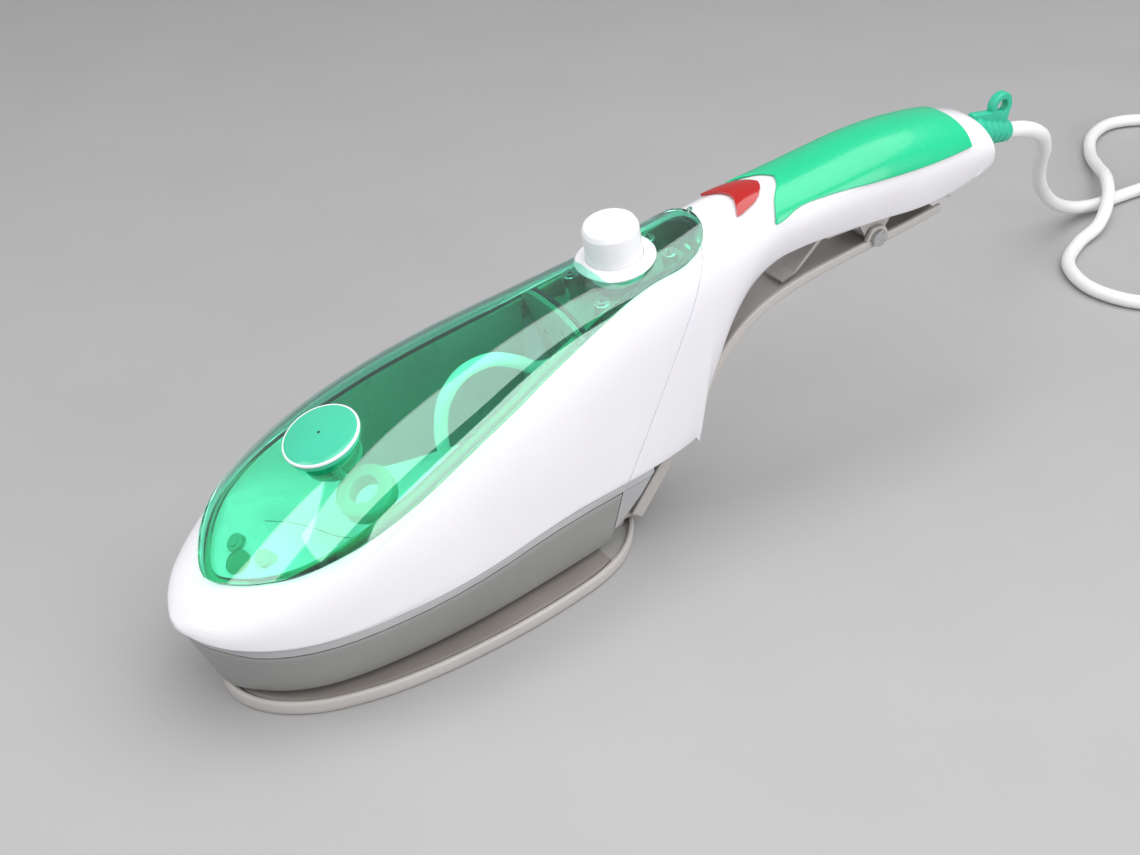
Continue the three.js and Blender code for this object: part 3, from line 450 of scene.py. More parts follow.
def metal(name, low, high, rough, scale=(1, 1, 1)):
    """Metal with fine working marks along the longest scale."""
    mat, tree, s = material(name)
    s.inputs["Metallic"].default_value = 1.0
    where = tree.nodes.new("ShaderNodeTexCoord")
    stretch = tree.nodes.new("ShaderNodeMapping")
    stretch.inputs["Scale"].default_value = scale
    n = tree.nodes.new("ShaderNodeTexNoise")
    n.inputs["Scale"].default_value = 700
    tree.links.new(where.outputs["Object"], stretch.inputs["Vector"])
    tree.links.new(stretch.outputs["Vector"], n.inputs["Vector"])
    tree.links.new(ramp(tree, n.outputs["Fac"], low, high), s.inputs["Base Color"])
    tree.links.new(spread(tree, n.outputs["Fac"], rough[0], rough[1]), s.inputs["Roughness"])
    bump(tree, s, n.outputs["Fac"], 0.02 * MM)
    return mat


WHITE = moulded("white_gloss", (0.79, 0.775, 0.81), (0.83, 0.815, 0.845), (0.10, 0.16), coat=0.5, grain=0.004,
                grain_scale=300, subsurface=0.05)
WHITE_SATIN = moulded("white_satin", (0.80, 0.80, 0.82), (0.84, 0.84, 0.86), (0.28, 0.36), grain=0.01)
GREEN = moulded("green_gloss", (0.006, 0.49, 0.225), (0.010, 0.55, 0.26), (0.22, 0.3), coat=0.25, grain=0.004,
                grain_scale=300, subsurface=0.05)
GREEN_CAP = moulded("green_cap", (0.05, 0.50, 0.31), (0.07, 0.56, 0.36), (0.16, 0.24), coat=0.4,
                    subsurface=0.1)
GREEN_GUARD = moulded("green_guard", (0.02, 0.42, 0.26), (0.03, 0.48, 0.30), (0.34, 0.44), grain=0.02,
                      subsurface=0.05)
WINDOW_CLEAR = clear("green_window", ((0.34, 0.86, 0.69), (0.37, 0.89, 0.72)), (0.55, 0.93, 0.80),
                     ior=1.5, specular=0.8, coat=0.8)
RIM_CLEAR = clear("green_rim", ((0.02, 0.60, 0.38), (0.03, 0.66, 0.42)), (0.10, 0.7, 0.48))
PUMP_CLEAR = clear("pump_clear", ((0.05, 0.50, 0.32), (0.06, 0.55, 0.35)), (0.1, 0.6, 0.4))
MINT = moulded("mint_liner", (0.66, 0.90, 0.81), (0.72, 0.94, 0.86), (0.2, 0.3), coat=0.2, subsurface=0.1)
SILICONE = moulded("silicone", (0.62, 0.86, 0.78), (0.68, 0.90, 0.82), (0.35, 0.45), subsurface=0.2)
RED = moulded("red_lens", (0.36, 0.006, 0.005), (0.44, 0.010, 0.008), (0.1, 0.16), coat=0.5, subsurface=0.1)
LIGHT_GREY = moulded("light_grey", (0.40, 0.405, 0.41), (0.44, 0.445, 0.45), (0.32, 0.42), grain=0.012)
MID_GREY = moulded("mid_grey", (0.27, 0.27, 0.262), (0.305, 0.305, 0.296), (0.34, 0.46), grain=0.014)
WARM_GREY = moulded("warm_grey", (0.44, 0.415, 0.395), (0.49, 0.462, 0.44), (0.34, 0.44), grain=0.014)
TAUPE = moulded("taupe", (0.26, 0.235, 0.215), (0.30, 0.272, 0.25), (0.5, 0.62), grain=0.03)
DARK = moulded("dark_rubber", (0.014, 0.016, 0.017), (0.024, 0.026, 0.028), (0.45, 0.6), grain=0.02)
CORD = moulded("cord_cover", (0.74, 0.735, 0.74), (0.80, 0.795, 0.80), (0.32, 0.42), grain=0.012,
               subsurface=0.08)
CERAMIC = moulded("ceramic", (0.62, 0.57, 0.47), (0.70, 0.65, 0.55), (0.6, 0.75), grain=0.03)
RUBBER = moulded("gasket", (0.33, 0.06, 0.02), (0.40, 0.08, 0.03), (0.6, 0.75), grain=0.02)
STEEL = metal("steel", (0.52, 0.53, 0.54), (0.62, 0.63, 0.64), (0.22, 0.34))
ALUMINIUM = metal("aluminium", (0.60, 0.61, 0.62), (0.70, 0.71, 0.72), (0.28, 0.4), scale=(0.05, 1, 1))
BRASS = metal("brass", (0.60, 0.42, 0.14), (0.70, 0.50, 0.19), (0.2, 0.3))
# Dark green for the bulkhead, pump bay and tank mould line; on the liner's far wall it is painted shade.
DEEP_GREEN_AND_SHADE = moulded("deep_green_and_painted_shade", (0.03, 0.21, 0.145), (0.045, 0.27, 0.19), (0.25, 0.35), coat=0.2)


# ---------- mains cord, before the other pieces ----------
def coil_points():
    """The stored turns: radius and height change lane between turns, clockwise from the upper left."""
    knots = [(0, MIDDLE, 5.0), (250, MIDDLE, 5.0), (400, INNER, 5.0), (520, INNER, 5.0), (660, INNER, 12.0),
             (830, INNER, 12.0), (980, MIDDLE, 12.0), (1190, MIDDLE, 12.0), (1340, OUTER, 12.0),
             (1420, OUTER, 12.0), (1610, OUTER, 6.0), (1670, OUTER, 5.2)]
    out = []
    for turn in range(18, knots[-1][0] + 1, 15):
        i = max(k for k in range(len(knots) - 1) if knots[k][0] <= turn)
        t = (turn - knots[i][0]) / (knots[i + 1][0] - knots[i][0])
        t = t * t * (3 - 2 * t)
        r = knots[i][1] + (knots[i + 1][1] - knots[i][1]) * t
        z = knots[i][2] + (knots[i + 1][2] - knots[i][2]) * t
        a = math.radians(140 - turn)
        out.append((COIL[0] + r * math.cos(a), COIL[1] + r * math.sin(a), z))
    return out


PLUG_U = 607.0
PLUG_Z = 9.6
LEAD_Y = COIL[1] - OUTER


def make_cord():
    lead = [(638, LEAD_Y, 5.2), (628, LEAD_Y, 5.7), (619, LEAD_Y, 7.3), (612, LEAD_Y, 9.2),
            (PLUG_U + 0.3, LEAD_Y, PLUG_Z)]
    route = CORD_PATH + [(616.5, 25.6, 5.0)] + coil_points() + lead
    points = spline([over(*p) for p in route], 8)
    data = bpy.data.curves.new("mains_cord", "CURVE")
    data.dimensions = "3D"
    data.bevel_depth = CORD_R * MM
    data.bevel_resolution = 6
    data.use_fill_caps = True
    line = data.splines.new("POLY")
    line.points.add(len(points) - 1)
    for p, q in zip(line.points, points):
        p.co = (*q, 1)
    line.use_smooth = True
    cord = bpy.data.objects.new("mains_cord", data)
    bpy.context.scene.collection.objects.link(cord)
    data.materials.append(CORD)
    own(cord, "steamer", ("power_cord", "cord_coil", "cord_lead"))
    length = sum((b - a).length for a, b in zip(points, points[1:]))
    return cord, points[0], length


def make_plug():
    quarter = Matrix.Rotation(math.radians(90), 4, "Y")
    axis = Matrix.Translation(over(PLUG_U, LEAD_Y, PLUG_Z)) @ quarter
    profile = [(0, -44), (8.4, -44, 0.8), (9, -42.4, 0.6), (9, -24, 3), (7.4, -17, 3)]
    z = -16.0
    r = 7.0
    while z < -3:
        profile += [(r, z, 0.3), (r, z + 1.3, 0.3), (r - 1.0, z + 1.6, 0.2), (r - 1.05, z + 2.4, 0.2)]
        z += 2.7
        r -= 0.38
    profile += [(4.9, -1.6, 0.4), (4.8, 0, 0.3), (0, 0)]
    plug = turned("plug_shell", rounded(profile, 0.4), axis, WHITE_SATIN, "steamer", ("plug_body",))
    pins = []
    for i, y in enumerate((-5, 5)):
        where = Matrix.Translation(over(PLUG_U, LEAD_Y + y, PLUG_Z)) @ quarter
        pin = rounded([(0, -61.9), (1.9, -61.9, 1.2), (2.0, -58, 0.5), (2.0, -36.5), (0, -36.5)], 0.6)
        pins.append(turned(f"contact_{i + 1}", pin, where, BRASS, "steamer", (f"plug_pin_{i + 1}",), 32))
    return [plug] + pins


cord_piece, cord_exit, cord_length = make_cord()
on_cord = make_plug() + [NODES["coil_tie"]]


# ---------- outer body ----------
def foot_line(u):
    return RIM_H if u < NECK[0][0] else smooth(NECK, u)


ROOT_RIBS = [(math.sqrt(r[0] - NOSE_U), *r[1:]) for r in RIBS]


def rib(u):
    """Top, height of the widest point, half width, half width at the foot, roundness."""
    s = math.sqrt(max(u - NOSE_U, 0))
    top, mid, half, foot, power = (smooth(ROOT_RIBS, s, k) for k in (2, 3, 4, 5, 6))
    low = foot_line(u)
    return top, min(max(mid, low + 0.3), top - 0.3), half, foot, power


def dome(u, y):
    """Height of the body's upper surface."""
    top, mid, half, _, power = rib(u)
    t = min(abs(y) / max(half, 1e-6), 1)
    return mid + (top - mid) * (1 - t ** power) ** (1 / power)


def normal(u, y, d=0.4):
    """Outward direction of the upper surface, in body axes."""
    zu = (dome(u + d, y) - dome(u - d, y)) / (2 * d)
    zy = (dome(u, y + d) - dome(u, y - d)) / (2 * d)
    return Vector((-zu, -zy, 1)).normalized()


def root_table(points, end, sign):
    """Points as (square root of the way in from the blunt end, half width), nearest first."""
    return [(math.sqrt(sign * (u - end)), w) for u, w in points[::sign]]


WINDOW_FRONT = root_table(WINDOW[:10], WINDOW[0][0], 1)
WINDOW_REAR = root_table(WINDOW[7:], WINDOW[-1][0], -1)


def window_half(u):
    if u < 115:
        return max(smooth(WINDOW_FRONT, math.sqrt(max(u - WINDOW[0][0], 0))), 0)
    return max(smooth(WINDOW_REAR, math.sqrt(max(WINDOW[-1][0] - u, 0))), 0)


def span(a, b, step):
    n = max(int(round((b - a) / step)), 1)
    return [a + (b - a) * i / n for i in range(n)]


WINDOW_NOSE = WINDOW[0][0]
WINDOW_TAIL = WINDOW[-1][0]
NOSE_SHARES = [(i / 44) ** 2 for i in range(44)]
TAIL_STATIONS = [WINDOW_TAIL - 17.2 * (1 - i / 18) ** 2 for i in range(19)]


def window_stations():
    """u of the window's cross rows, close together at its two blunt ends."""
    return [WINDOW_NOSE + 47.6 * t for t in NOSE_SHARES] + span(60, 205, 2.5) + TAIL_STATIONS


def body_rows():
    """One row of points down the right flank for each station, from the window's edge to the lower edge."""
    pairs = [(WINDOW_NOSE + 47.6 * t, NOSE_U + 62 * t) for t in NOSE_SHARES]
    pairs += [(u, u) for u in span(60, 205, 2.5) + TAIL_STATIONS]
    pairs += [(u, u) for u in span(222.6, 246, 0.9) + span(246, 262, 1.5) + span(262, 391, 2.6) + [391]]
    rows = []
    for start, edge in pairs:
        _, mid, half, foot, _ = rib(edge)
        w = window_half(start) if start < WINDOW_TAIL else 0.0
        row = []
        for k in range(31):
            g = 1 - (1 - k / 30) ** 2.5
            u = start + (edge - start) * g
            y = w + (half - w) * g if start != WINDOW_NOSE else 0.0
            row.append((u, y, mid if k == 30 else dome(u, y)))
        low = foot_line(edge)
        if start == WINDOW_NOSE:
            half = foot = 0.0
        for k in range(1, 13):
            t = k / 12
            row.append((edge, half + (foot - half) * t ** 1.6, mid + (low - mid) * t))
        rows.append(row)
    return rows


def bisected(obj, point, direction, fill=False):
    """Keeps the part of obj that lies against direction from point."""
    bm = bmesh.new()
    bm.from_mesh(obj.data)
    cut = bmesh.ops.bisect_plane(bm, geom=bm.verts[:] + bm.edges[:] + bm.faces[:], plane_co=point, dist=1e-7,
                                 plane_no=direction, clear_outer=True)
    if fill:
        edges = [e for e in cut["geom_cut"] if isinstance(e, bmesh.types.BMEdge)]
        bmesh.ops.contextual_create(bm, geom=edges)
    bm.to_mesh(obj.data)
    bm.free()


def make_casings():
    rows = body_rows()
    split_dir = Vector((1, 0, -SPLIT[2])).normalized()
    for name, node, keep in (("front_shell", "front_casing", 1), ("handle_shell", "handle_casing", -1)):
        verts, faces = [], []
        for side in (-1, 1):
            v, f = grid([[at(u, side * y, h) for u, y, h in row] for row in rows])
            base = len(verts)
            verts += v
            faces += [tuple(base + i for i in (q if side < 0 else q[::-1])) for q in f]
        under = [[at(row[-1][0], row[-1][1] * t / 4, row[-1][2]) for t in range(-4, 5)]
                 for row in rows if row[0][0] >= 219.5]
        v, f = grid(under)
        faces += [tuple(len(verts) + i for i in q) for q in f]
        verts += v
        obj = obj_from(name, verts, faces, WHITE)
        bisected(obj, at(SPLIT[0] - keep * 0.15, 0, SPLIT[1]), split_dir * keep)
        if keep < 0:
            slope = Vector((TAIL_TOP[1] - TAIL_LOW[1], 0, TAIL_LOW[0] - TAIL_TOP[0])).normalized()
            bisected(obj, at(TAIL_TOP[0], 0, TAIL_TOP[1]), slope, fill=True)
        thicken(obj, 2.2)
        if keep < 0:
            tail = [(u, z) for u, z in LEVER_LINE if 22 < z < 82]
            slot_line = [(u - 14, z - BASE_Z) for u, z in tail]
            slot_line += [(u + 24, z - BASE_Z) for u, z in tail[::-1]]
            carve(obj, prism("slot_cut", slot_line, -12.6, 12.6))
        soften(obj, 0.35 if keep > 0 else 0.9, angle=50, segments=3 if keep < 0 else 2)
        own(obj, "steamer", (node,))


make_casings()


# ---------- window, tank and pump bay ----------
def plan_loop(half_at, stations):
    """Closed loop in plan, from the front end down the right side and back up the left."""
    right = [(u, -half_at(u)) for u in stations]
    left = [(u, half_at(u)) for u in stations if half_at(u) > 0.02][::-1]
    return right + left


def inset_loop(loop, d):
    out = []
    n = len(loop)
    for i in range(n):
        a = Vector(loop[i - 1])
        b = Vector(loop[(i + 1) % n])
        along = (b - a).normalized()
        p = Vector(loop[i]) + Vector((-along.y, along.x)) * d
        y = min(p.y, -0.02) if loop[i][1] < 0 else max(p.y, 0.02) if loop[i][1] > 0 else 0.0
        out.append((p.x, y))
    return out


WINDOW_LOOP = plan_loop(window_half, window_stations())


def make_window():
    rows = []
    for u in window_stations():
        w = window_half(u) - 0.15
        row = []
        for k in range(-24, 25):
            t = math.sin(k / 24 * math.pi / 2)
            y = max(w, 0.01) * t
            row.append(at(u, y, dome(u, y)))
        rows.append(row)
    verts, faces = grid(rows)
    cover = obj_from("window", verts, faces, WINDOW_CLEAR)
    thicken(cover, 2.0, bevel=0.45, angle=50, segments=3)
    own(cover, "steamer", ("tank_cover",))

    edge = inset_loop(WINDOW_LOOP, 0.5)
    inner = inset_loop(WINDOW_LOOP, 3.4)
    tall = [min(9.0, max(dome(u, y) - 46, 4.0)) for u, y in WINDOW_LOOP]
    rings = []
    for outline, deep in ((edge, 2.3), (inner, 2.3), (inner, 9.0), (edge, 9.0)):
        rings.append([at(u, y, dome(u, y) - (deep if deep < 3 else 2.3 + t))
                      for (u, y), t in zip(outline, tall)])
    verts, faces = grid(rings, close=True, wrap=True)
    obj_from("window_skirt", verts, faces, RIM_CLEAR, "steamer")


def tank_floor(u):
    """The tank grows shallower towards the nose."""
    t = min(max((u - 20) / 90, 0), 1)
    return 54.0 - 14.0 * t * t * (3 - 2 * t)


def make_tank():
    """Pale open liner under the window; its far wall is drawn in a darker green as painted shade."""
    stations = [u for u in window_stations() if u < 157]
    front = stations[0]
    half_columns = 36
    columns = 2 * half_columns + 1
    far_column = half_columns + 22
    verts = []
    for u in stations:
        w = max(window_half(u) - 3.8, 0.4)
        start = min((u - front) / 22, 1)
        start = start * start * (3 - 2 * start)
        for k in range(-half_columns, half_columns + 1):
            across = math.sin(k / half_columns * math.pi / 2)
            brim = dome(u, w * across) - 4.6
            deep = math.sqrt(1 - abs(across) ** 9) * start
            low = min(tank_floor(u), brim - 3)
            verts.append(at(u, w * across, brim - (brim - low) * deep))
    near, far = [], []
    for i in range(len(stations) - 1):
        for j in range(columns - 1):
            k = i * columns + j
            # Far-side faces from u 76 back take the dark green: painted shade on the pale liner.
            side = far if j >= far_column and stations[i] >= 76 else near
            side.append((k, k + 1, k + 1 + columns, k + columns))
    liner = obj_from("tank_liner", verts, near, MINT, "steamer", ("tank_tray",), sharp=60)
    wall = obj_from("tank_far_wall_painted_shade", verts, far, DEEP_GREEN_AND_SHADE, "steamer", sharp=60)
    for obj in (liner, wall):
        thicken(obj, 0.8, sharp=60)
    bead = ((40, 9), (48, 4.5), (54, -2), (58, -8), (66, -13), (80, -16), (100, -17), (120, -16), (140, -13))
    bead_line = [at(u, y, tank_floor(u) + 0.2) for u, y in bead]
    tube("tank_mould_line", spline(bead_line, 8), 0.7 * MM, DEEP_GREEN_AND_SHADE, "steamer", sides=12)


def make_bulkhead():
    """Wall between tank and pump bay with its dark seal bead, the bay's floor and its screw bosses."""
    walls = (("bulkhead_wall", 152.2, 2.2, DEEP_GREEN_AND_SHADE), ("bulkhead_seal", 155.0, 1.6, DARK))
    for name, u0, thick, shade_of in walls:
        rows = []
        for du in (0, thick):
            row = []
            for k in range(-14, 15):
                w = min(window_half(150) - 2.6, 22)
                y = w * math.sin(k / 14 * math.pi / 2)
                top = dome(u0 + du, y) - 2.5
                u = u0 + du + (110 - top) * 0.42
                row.append((u, y, top))
            rows.append([at(*p) for p in row] + [at(u + (h - 60) * 0.42, y, 60) for u, y, h in row[::-1]])
        verts, faces = caps(rows, *grid(rows, wrap=True))
        obj_from(name, verts, faces, shade_of, "steamer", ("tank_bulkhead",) if thick > 2 else ())
    rows = []
    for u in span(160, 219, 3) + [219]:
        w = max(window_half(u) - 1.2, 0.3)
        rows.append([at(u, w * t / 6, dome(u, 0) - 15 - 1.5 * (t / 6) ** 2) for t in range(-6, 7)])
    verts, faces = grid(rows)
    bay = obj_from("pump_bay", verts, faces, DEEP_GREEN_AND_SHADE)
    thicken(bay, 1.0)
    own(bay, "steamer")
    for i, (u, y, r) in enumerate(((171, -11.5, 3.4), (173, 10.5, 3.4), (206, -6.5, 3.0), (206, 6.5, 3.0))):
        h = dome(u, y) - 3.2
        boss = rounded([(0.9, -1), (0.9, 0), (1.3, 0.2), (r - 0.9, 0.2), (r - 0.9, -0.8), (r, -0.8),
                        (r, -11)], 0.25)
        lean = Matrix.Translation(at(u, y, h)) @ Matrix.Rotation(math.radians(-9), 4, "Y")
        turned(f"bay_boss_{i + 1}", boss, lean, PUMP_CLEAR, "steamer", sides=40)


def make_nose_fittings():
    """Small bosses and a clear plug on the underside of the window's nose."""
    for i, (u, y, r, mat) in enumerate(((25.5, 3.0, 3.4, GREEN_GUARD), (28.5, -12.5, 3.2, GREEN_GUARD),
                                        (22.5, -4.0, 4.6, PUMP_CLEAR))):
        h = dome(u, y) - 3.2
        top = rounded([(0, 0.4), (r * 0.55, 0.4), (r * 0.6, -0.2), (r, -0.2), (r, -4.5), (0, -4.5)], 0.3)
        n = normal(u, y)
        lean = Matrix.Translation(at(u, y, h)) @ n.to_track_quat("Z", "Y").to_matrix().to_4x4()
        turned(f"nose_boss_{i + 1}", top, lean, mat, "steamer", sides=40)


def make_cap():
    axis = tilted(CAP)
    top = [(0, 1.5)] + [(r, 1.5 - 1.0 * (r / 12.6) ** 2) for r in (2, 4, 6, 8, 10, 11.4, 12.4)]
    top += [(13.6, 0.2, 0.4), (14.1, -0.4, 0.3), (14.2, -2.6, 0.5), (13.2, -3.4, 0.4), (5.6, -3.4),
            (5.5, -10.8, 0.6), (0, -10.8)]
    turned("cap_disc", rounded(top, 0.35), axis, GREEN_CAP, "cap", ("filler_cap",), 96)
    band = rounded([(13.5, 0.1, 0.1), (13.9, 0.25, 0.2), (14.35, -0.1, 0.2), (14.4, -0.9, 0.2),
                    (13.6, -0.7, 0.1), (13.5, 0.1, 0.1)], 0.15)
    turned("cap_band", band, axis, WHITE_SATIN, "cap", (), 96)
    dot = rounded([(0, 1.62), (0.55, 1.62, 0.2), (0.6, 1.2), (0, 1.2)], 0.1)
    turned("cap_vent", dot, axis, DARK, "cap", (), 24)
    neck = rounded([(6.2, -16), (8.2, -16, 0.3), (8.2, -13), (10.6, -13, 0.4), (10.6, -11, 0.4),
                    (8.4, -11, 0.5), (8.4, -2.6), (6.2, -2.6), (6.2, -16)], 0.2)
    turned("neck_sleeve", neck, axis, GREEN_GUARD, "steamer", ("filler_neck",), 72)
    tip = normal(64, -12).to_track_quat("Z", "Y").to_matrix().to_4x4()
    lean = Matrix.Translation(at(65.5, -20.5, 72.5)) @ tip
    ring = rounded([(5.4, -3.4), (10.4, -3.4), (10.4, 2.2), (8.8, 3.0), (5.4, 3.0), (5.4, -3.4)], 0.6)
    turned("tether_ring", ring, lean, GREEN_GUARD, "steamer", (), 64)
    tether = spline([at(60.5, -7.5, 78), at(61.5, -10, 76.2), at(62.8, -12.5, 74.8)], 6)
    tube("tether", tether, 1.7 * MM, GREEN_GUARD, "steamer")


def make_knob():
    axis = tilted(KNOB)
    brim = rounded([(10.9, -2.0), (12.1, -2.0), (12.1, -0.5, 0.2), (15.2, -0.5, 0.3), (15.5, 0.3, 0.4),
                    (14.6, 1.0, 0.8), (12.4, 1.5, 1.2), (11.4, 2.2, 0.5), (10.9, 2.0, 0.2),
                    (10.9, -2.0)], 0.2)
    turned("knob_brim", brim, axis, WHITE_SATIN, "steamer", ("pump_collar",), 96)
    top = [(0, 16.6), (4, 16.5), (8.6, 16.1), (9.8, 15.6, 1.0), (10.75, 13.6, 1.2), (10.8, 1.0),
           (10.6, -6.8, 0.4), (9.2, -6.8, 0.3), (9.2, 12), (0, 12)]
    turned("knob_body", rounded(top, 0.5, 6), axis, WHITE_SATIN, "pump", ("pump_knob",), 96)


def make_hoses():
    tube("suction_hose", spline([at(*p) for p in SUCTION], 10), 2.6 * MM, SILICONE, "steamer",
         ("suction_tube",), 24)
    where = Matrix.Translation(at(112, 4, 40))
    strainer = [(0, 0), (4.6, 0, 0.4)]
    for k in range(5):
        strainer += [(4.6, 1.4 + 2 * k, 0.1), (4.1, 1.7 + 2 * k, 0.1), (4.1, 2.3 + 2 * k, 0.1),
                     (4.6, 2.6 + 2 * k, 0.1)]
    strainer += [(4.6, 11.6, 0.6), (2.9, 11.6, 0.2), (0, 11.6)]
    turned("strainer", rounded(strainer, 0.2), where, MINT, "steamer", ("suction_filter",), 40)


make_window()
make_tank()
make_bulkhead()
make_nose_fittings()
make_cap()
make_knob()
make_hoses()


# ---------- grip and lens ----------
GRIP_BUMPS = [(272, 3.4, 11.4), (296, 3.8, 11.2), (320, 5.6, 11.8), (345, 5.2, 13.0)]
GRIP_FRONT = [(0, 262.5), (5, 259.6), (10, 254.2), (15, 250.6), (18.5, 248.6)]
GRIP_REAR = [(0, 353.4), (8, 354), (18.5, 355.6)]
GRIP_LOW = [(245, 117.2), (251, 117.4), (262, 120.6), (276, 121.6), (300, 121.2), (330, 120.6), (360, 121.4)]


def grip_point(s, t):
    """Point of the grip: s from front to rear, t from its right lower edge to its left one."""
    a = abs(t)
    u = 300.0
    y = 0.0
    for _ in range(4):
        front, rear = smooth(GRIP_FRONT, abs(y)), smooth(GRIP_REAR, abs(y))
        u = front + (rear - front) * s
        top, mid, half, _, power = rib(u)
        low = math.asin(min(max((smooth(GRIP_LOW, u) - mid) / (top - mid), 0), 1) ** (power / 2))
        angle = math.pi / 2 + (low - math.pi / 2) * a
        y = half * math.cos(angle) ** (2 / power)
        h = mid + (top - mid) * math.sin(angle) ** (2 / power)
    return u, math.copysign(y, t) if t else 0.0, h


def make_grip():
    rows = []
    for i in range(61):
        s = i / 60
        row = []
        for k in range(-22, 23):
            u, y, h = grip_point(s, k / 22)
            row.append(at(u, y, h) + normal(u, y) * 0.25 * MM)
        rows.append(row)
    verts, faces = grid(rows)
    grip = obj_from("grip_skin", verts, faces, GREEN)
    thicken(grip, 1.0, bevel=0.4, angle=50, segments=3)
    own(grip, "steamer", ("grip_cover",))
    n = 0
    for u0, inner, outer in GRIP_BUMPS:
        for side in (-1, 1):
            for y, shift in ((inner, 0.0), (outer, -5.6)):
                for column in (0.0, 5.5):
                    n += 1
                    bump_on_skin(f"grip_bump_{n}", u0 + shift + column, side * y)


def bump_on_skin(name, u0, y0):
    """Low oval bump standing on the grip's skin, longer across the handle."""
    rows = []
    for k in range(8):
        a = math.pi / 2 * k / 7
        row = []
        for q in range(28):
            b = 2 * math.pi * q / 28
            u = u0 + 1.7 * math.cos(a) * math.cos(b)
            y = y0 + 2.4 * math.cos(a) * math.sin(b)
            row.append(at(u, y, dome(u, y)) + normal(u, y) * (0.15 + 1.15 * math.sin(a)) * MM)
        rows.append(row)
    verts, faces = grid(rows, wrap=True)
    obj_from(name, verts, faces, GREEN, "steamer", sharp=80)


def make_lens():
    """Shield-shaped red lens, pointed towards the nose at its two sides."""
    front = [(0, 240.4), (3.6, 239.6), (7, 237.6), (10.4, 235.4)]
    rear = [(0, 254.4), (3, 252.8), (5, 250.8), (8.6, 245), (10.4, 237.6)]
    rows = []
    for i in range(25):
        s = i / 24
        row = []
        for k in range(-20, 21):
            y = 10.35 * k / 20
            a, b = smooth(front, abs(y)), smooth(rear, abs(y))
            u = a + (b - a) * s
            swell = 0.3 + 0.5 * (1 - (2 * s - 1) ** 2) * (1 - (k / 20) ** 2)
            row.append(at(u, y, dome(u, y)) + normal(u, y) * swell * MM)
        rows.append(row)
    verts, faces = grid(rows)
    lens = obj_from("signal_lens", verts, faces, RED)
    thicken(lens, 1.2, bevel=0.3, angle=50, segments=2)
    own(lens, "steamer", ("indicator_lens",))


make_grip()
make_lens()


# ---------- sole ----------
def half_table(points):
    end = points[0][0]
    return [(math.sqrt(u - end), w) for u, w in points], end


def plan_curve(points, count, last):
    """Half outline from a blunt front end: count + 1 points of (u, half width)."""
    table, end = half_table(points)
    out = []
    for i in range(count + 1):
        s = math.sqrt(last - end) * i / count
        out.append((end + s * s, max(smooth(table, s), 0) if i else 0.0))
    return out


def skirt_rows(last, levels):
    low, top = plan_curve(SKIRT_LOW, 90, last), plan_curve(SKIRT_TOP, 90, last)
    rows = []
    for inset, h in levels:
        t = h / SKIRT_H
        half = [(a[0] + (b[0] - a[0]) * t, a[1] + (b[1] - a[1]) * t) for a, b in zip(low, top)]
        right = [(u, -w) for u, w in half]
        left = [(u, w) for u, w in half[1:]][::-1]
        loop = left + right
        moved = inset_loop(loop, inset) if inset else loop
        rows.append([at(u, y, h) for u, y in moved])
    return rows


def make_sole():
    outer = [(1.0, 27.5), (0.3, 27.4), (0.0, 26.9), (0.0, 24), (0.0, 18), (0.0, 12), (0.0, 6), (0.0, 1.2),
             (0.15, 0.4), (0.5, 0.05), (1.6, 0.0), (2.2, 0.3), (2.4, 2.0), (2.4, 27.1), (1.0, 27.5)]
    verts, faces = grid(skirt_rows(190, outer))
    skirt = obj_from("sole_wall", verts, faces, MID_GREY)
    bisected(skirt, at(172.8, 0, 10), Vector((1, 0, 0)))
    own(skirt, "steamer", ("sole_skirt",))

    band = [(2.6, RIM_H - 0.2), (0.5, RIM_H - 0.2), (0.05, RIM_H - 0.55), (0.0, RIM_H - 1.2), (0.0, 29.2),
            (0.2, 28.8), (0.6, 28.6), (2.6, 28.6), (2.6, RIM_H - 0.2)]
    rows = []
    curve = plan_curve(SKIRT_TOP, 100, 190)
    loop = [(u, w) for u, w in curve[1:]][::-1] + [(u, -w) for u, w in curve]
    for inset, h in band:
        rows.append([at(u, y, h) for u, y in (inset_loop(loop, inset) if inset else loop)])
    verts, faces = grid(rows)
    obj_from("base_band", verts, faces, LIGHT_GREY, "steamer")


make_sole()


TRAY_REAR = TRAY_PLAN[-1][0]


def tray_half(u):
    front, end = half_table(TRAY_PLAN[:10])
    rear = [(math.sqrt(TRAY_REAR - a), w) for a, w in TRAY_PLAN[8:][::-1]]
    if u < 100:
        return max(smooth(front, math.sqrt(max(u - end, 0))), 0)
    return max(smooth(rear, math.sqrt(max(TRAY_REAR - u, 0))), 0)


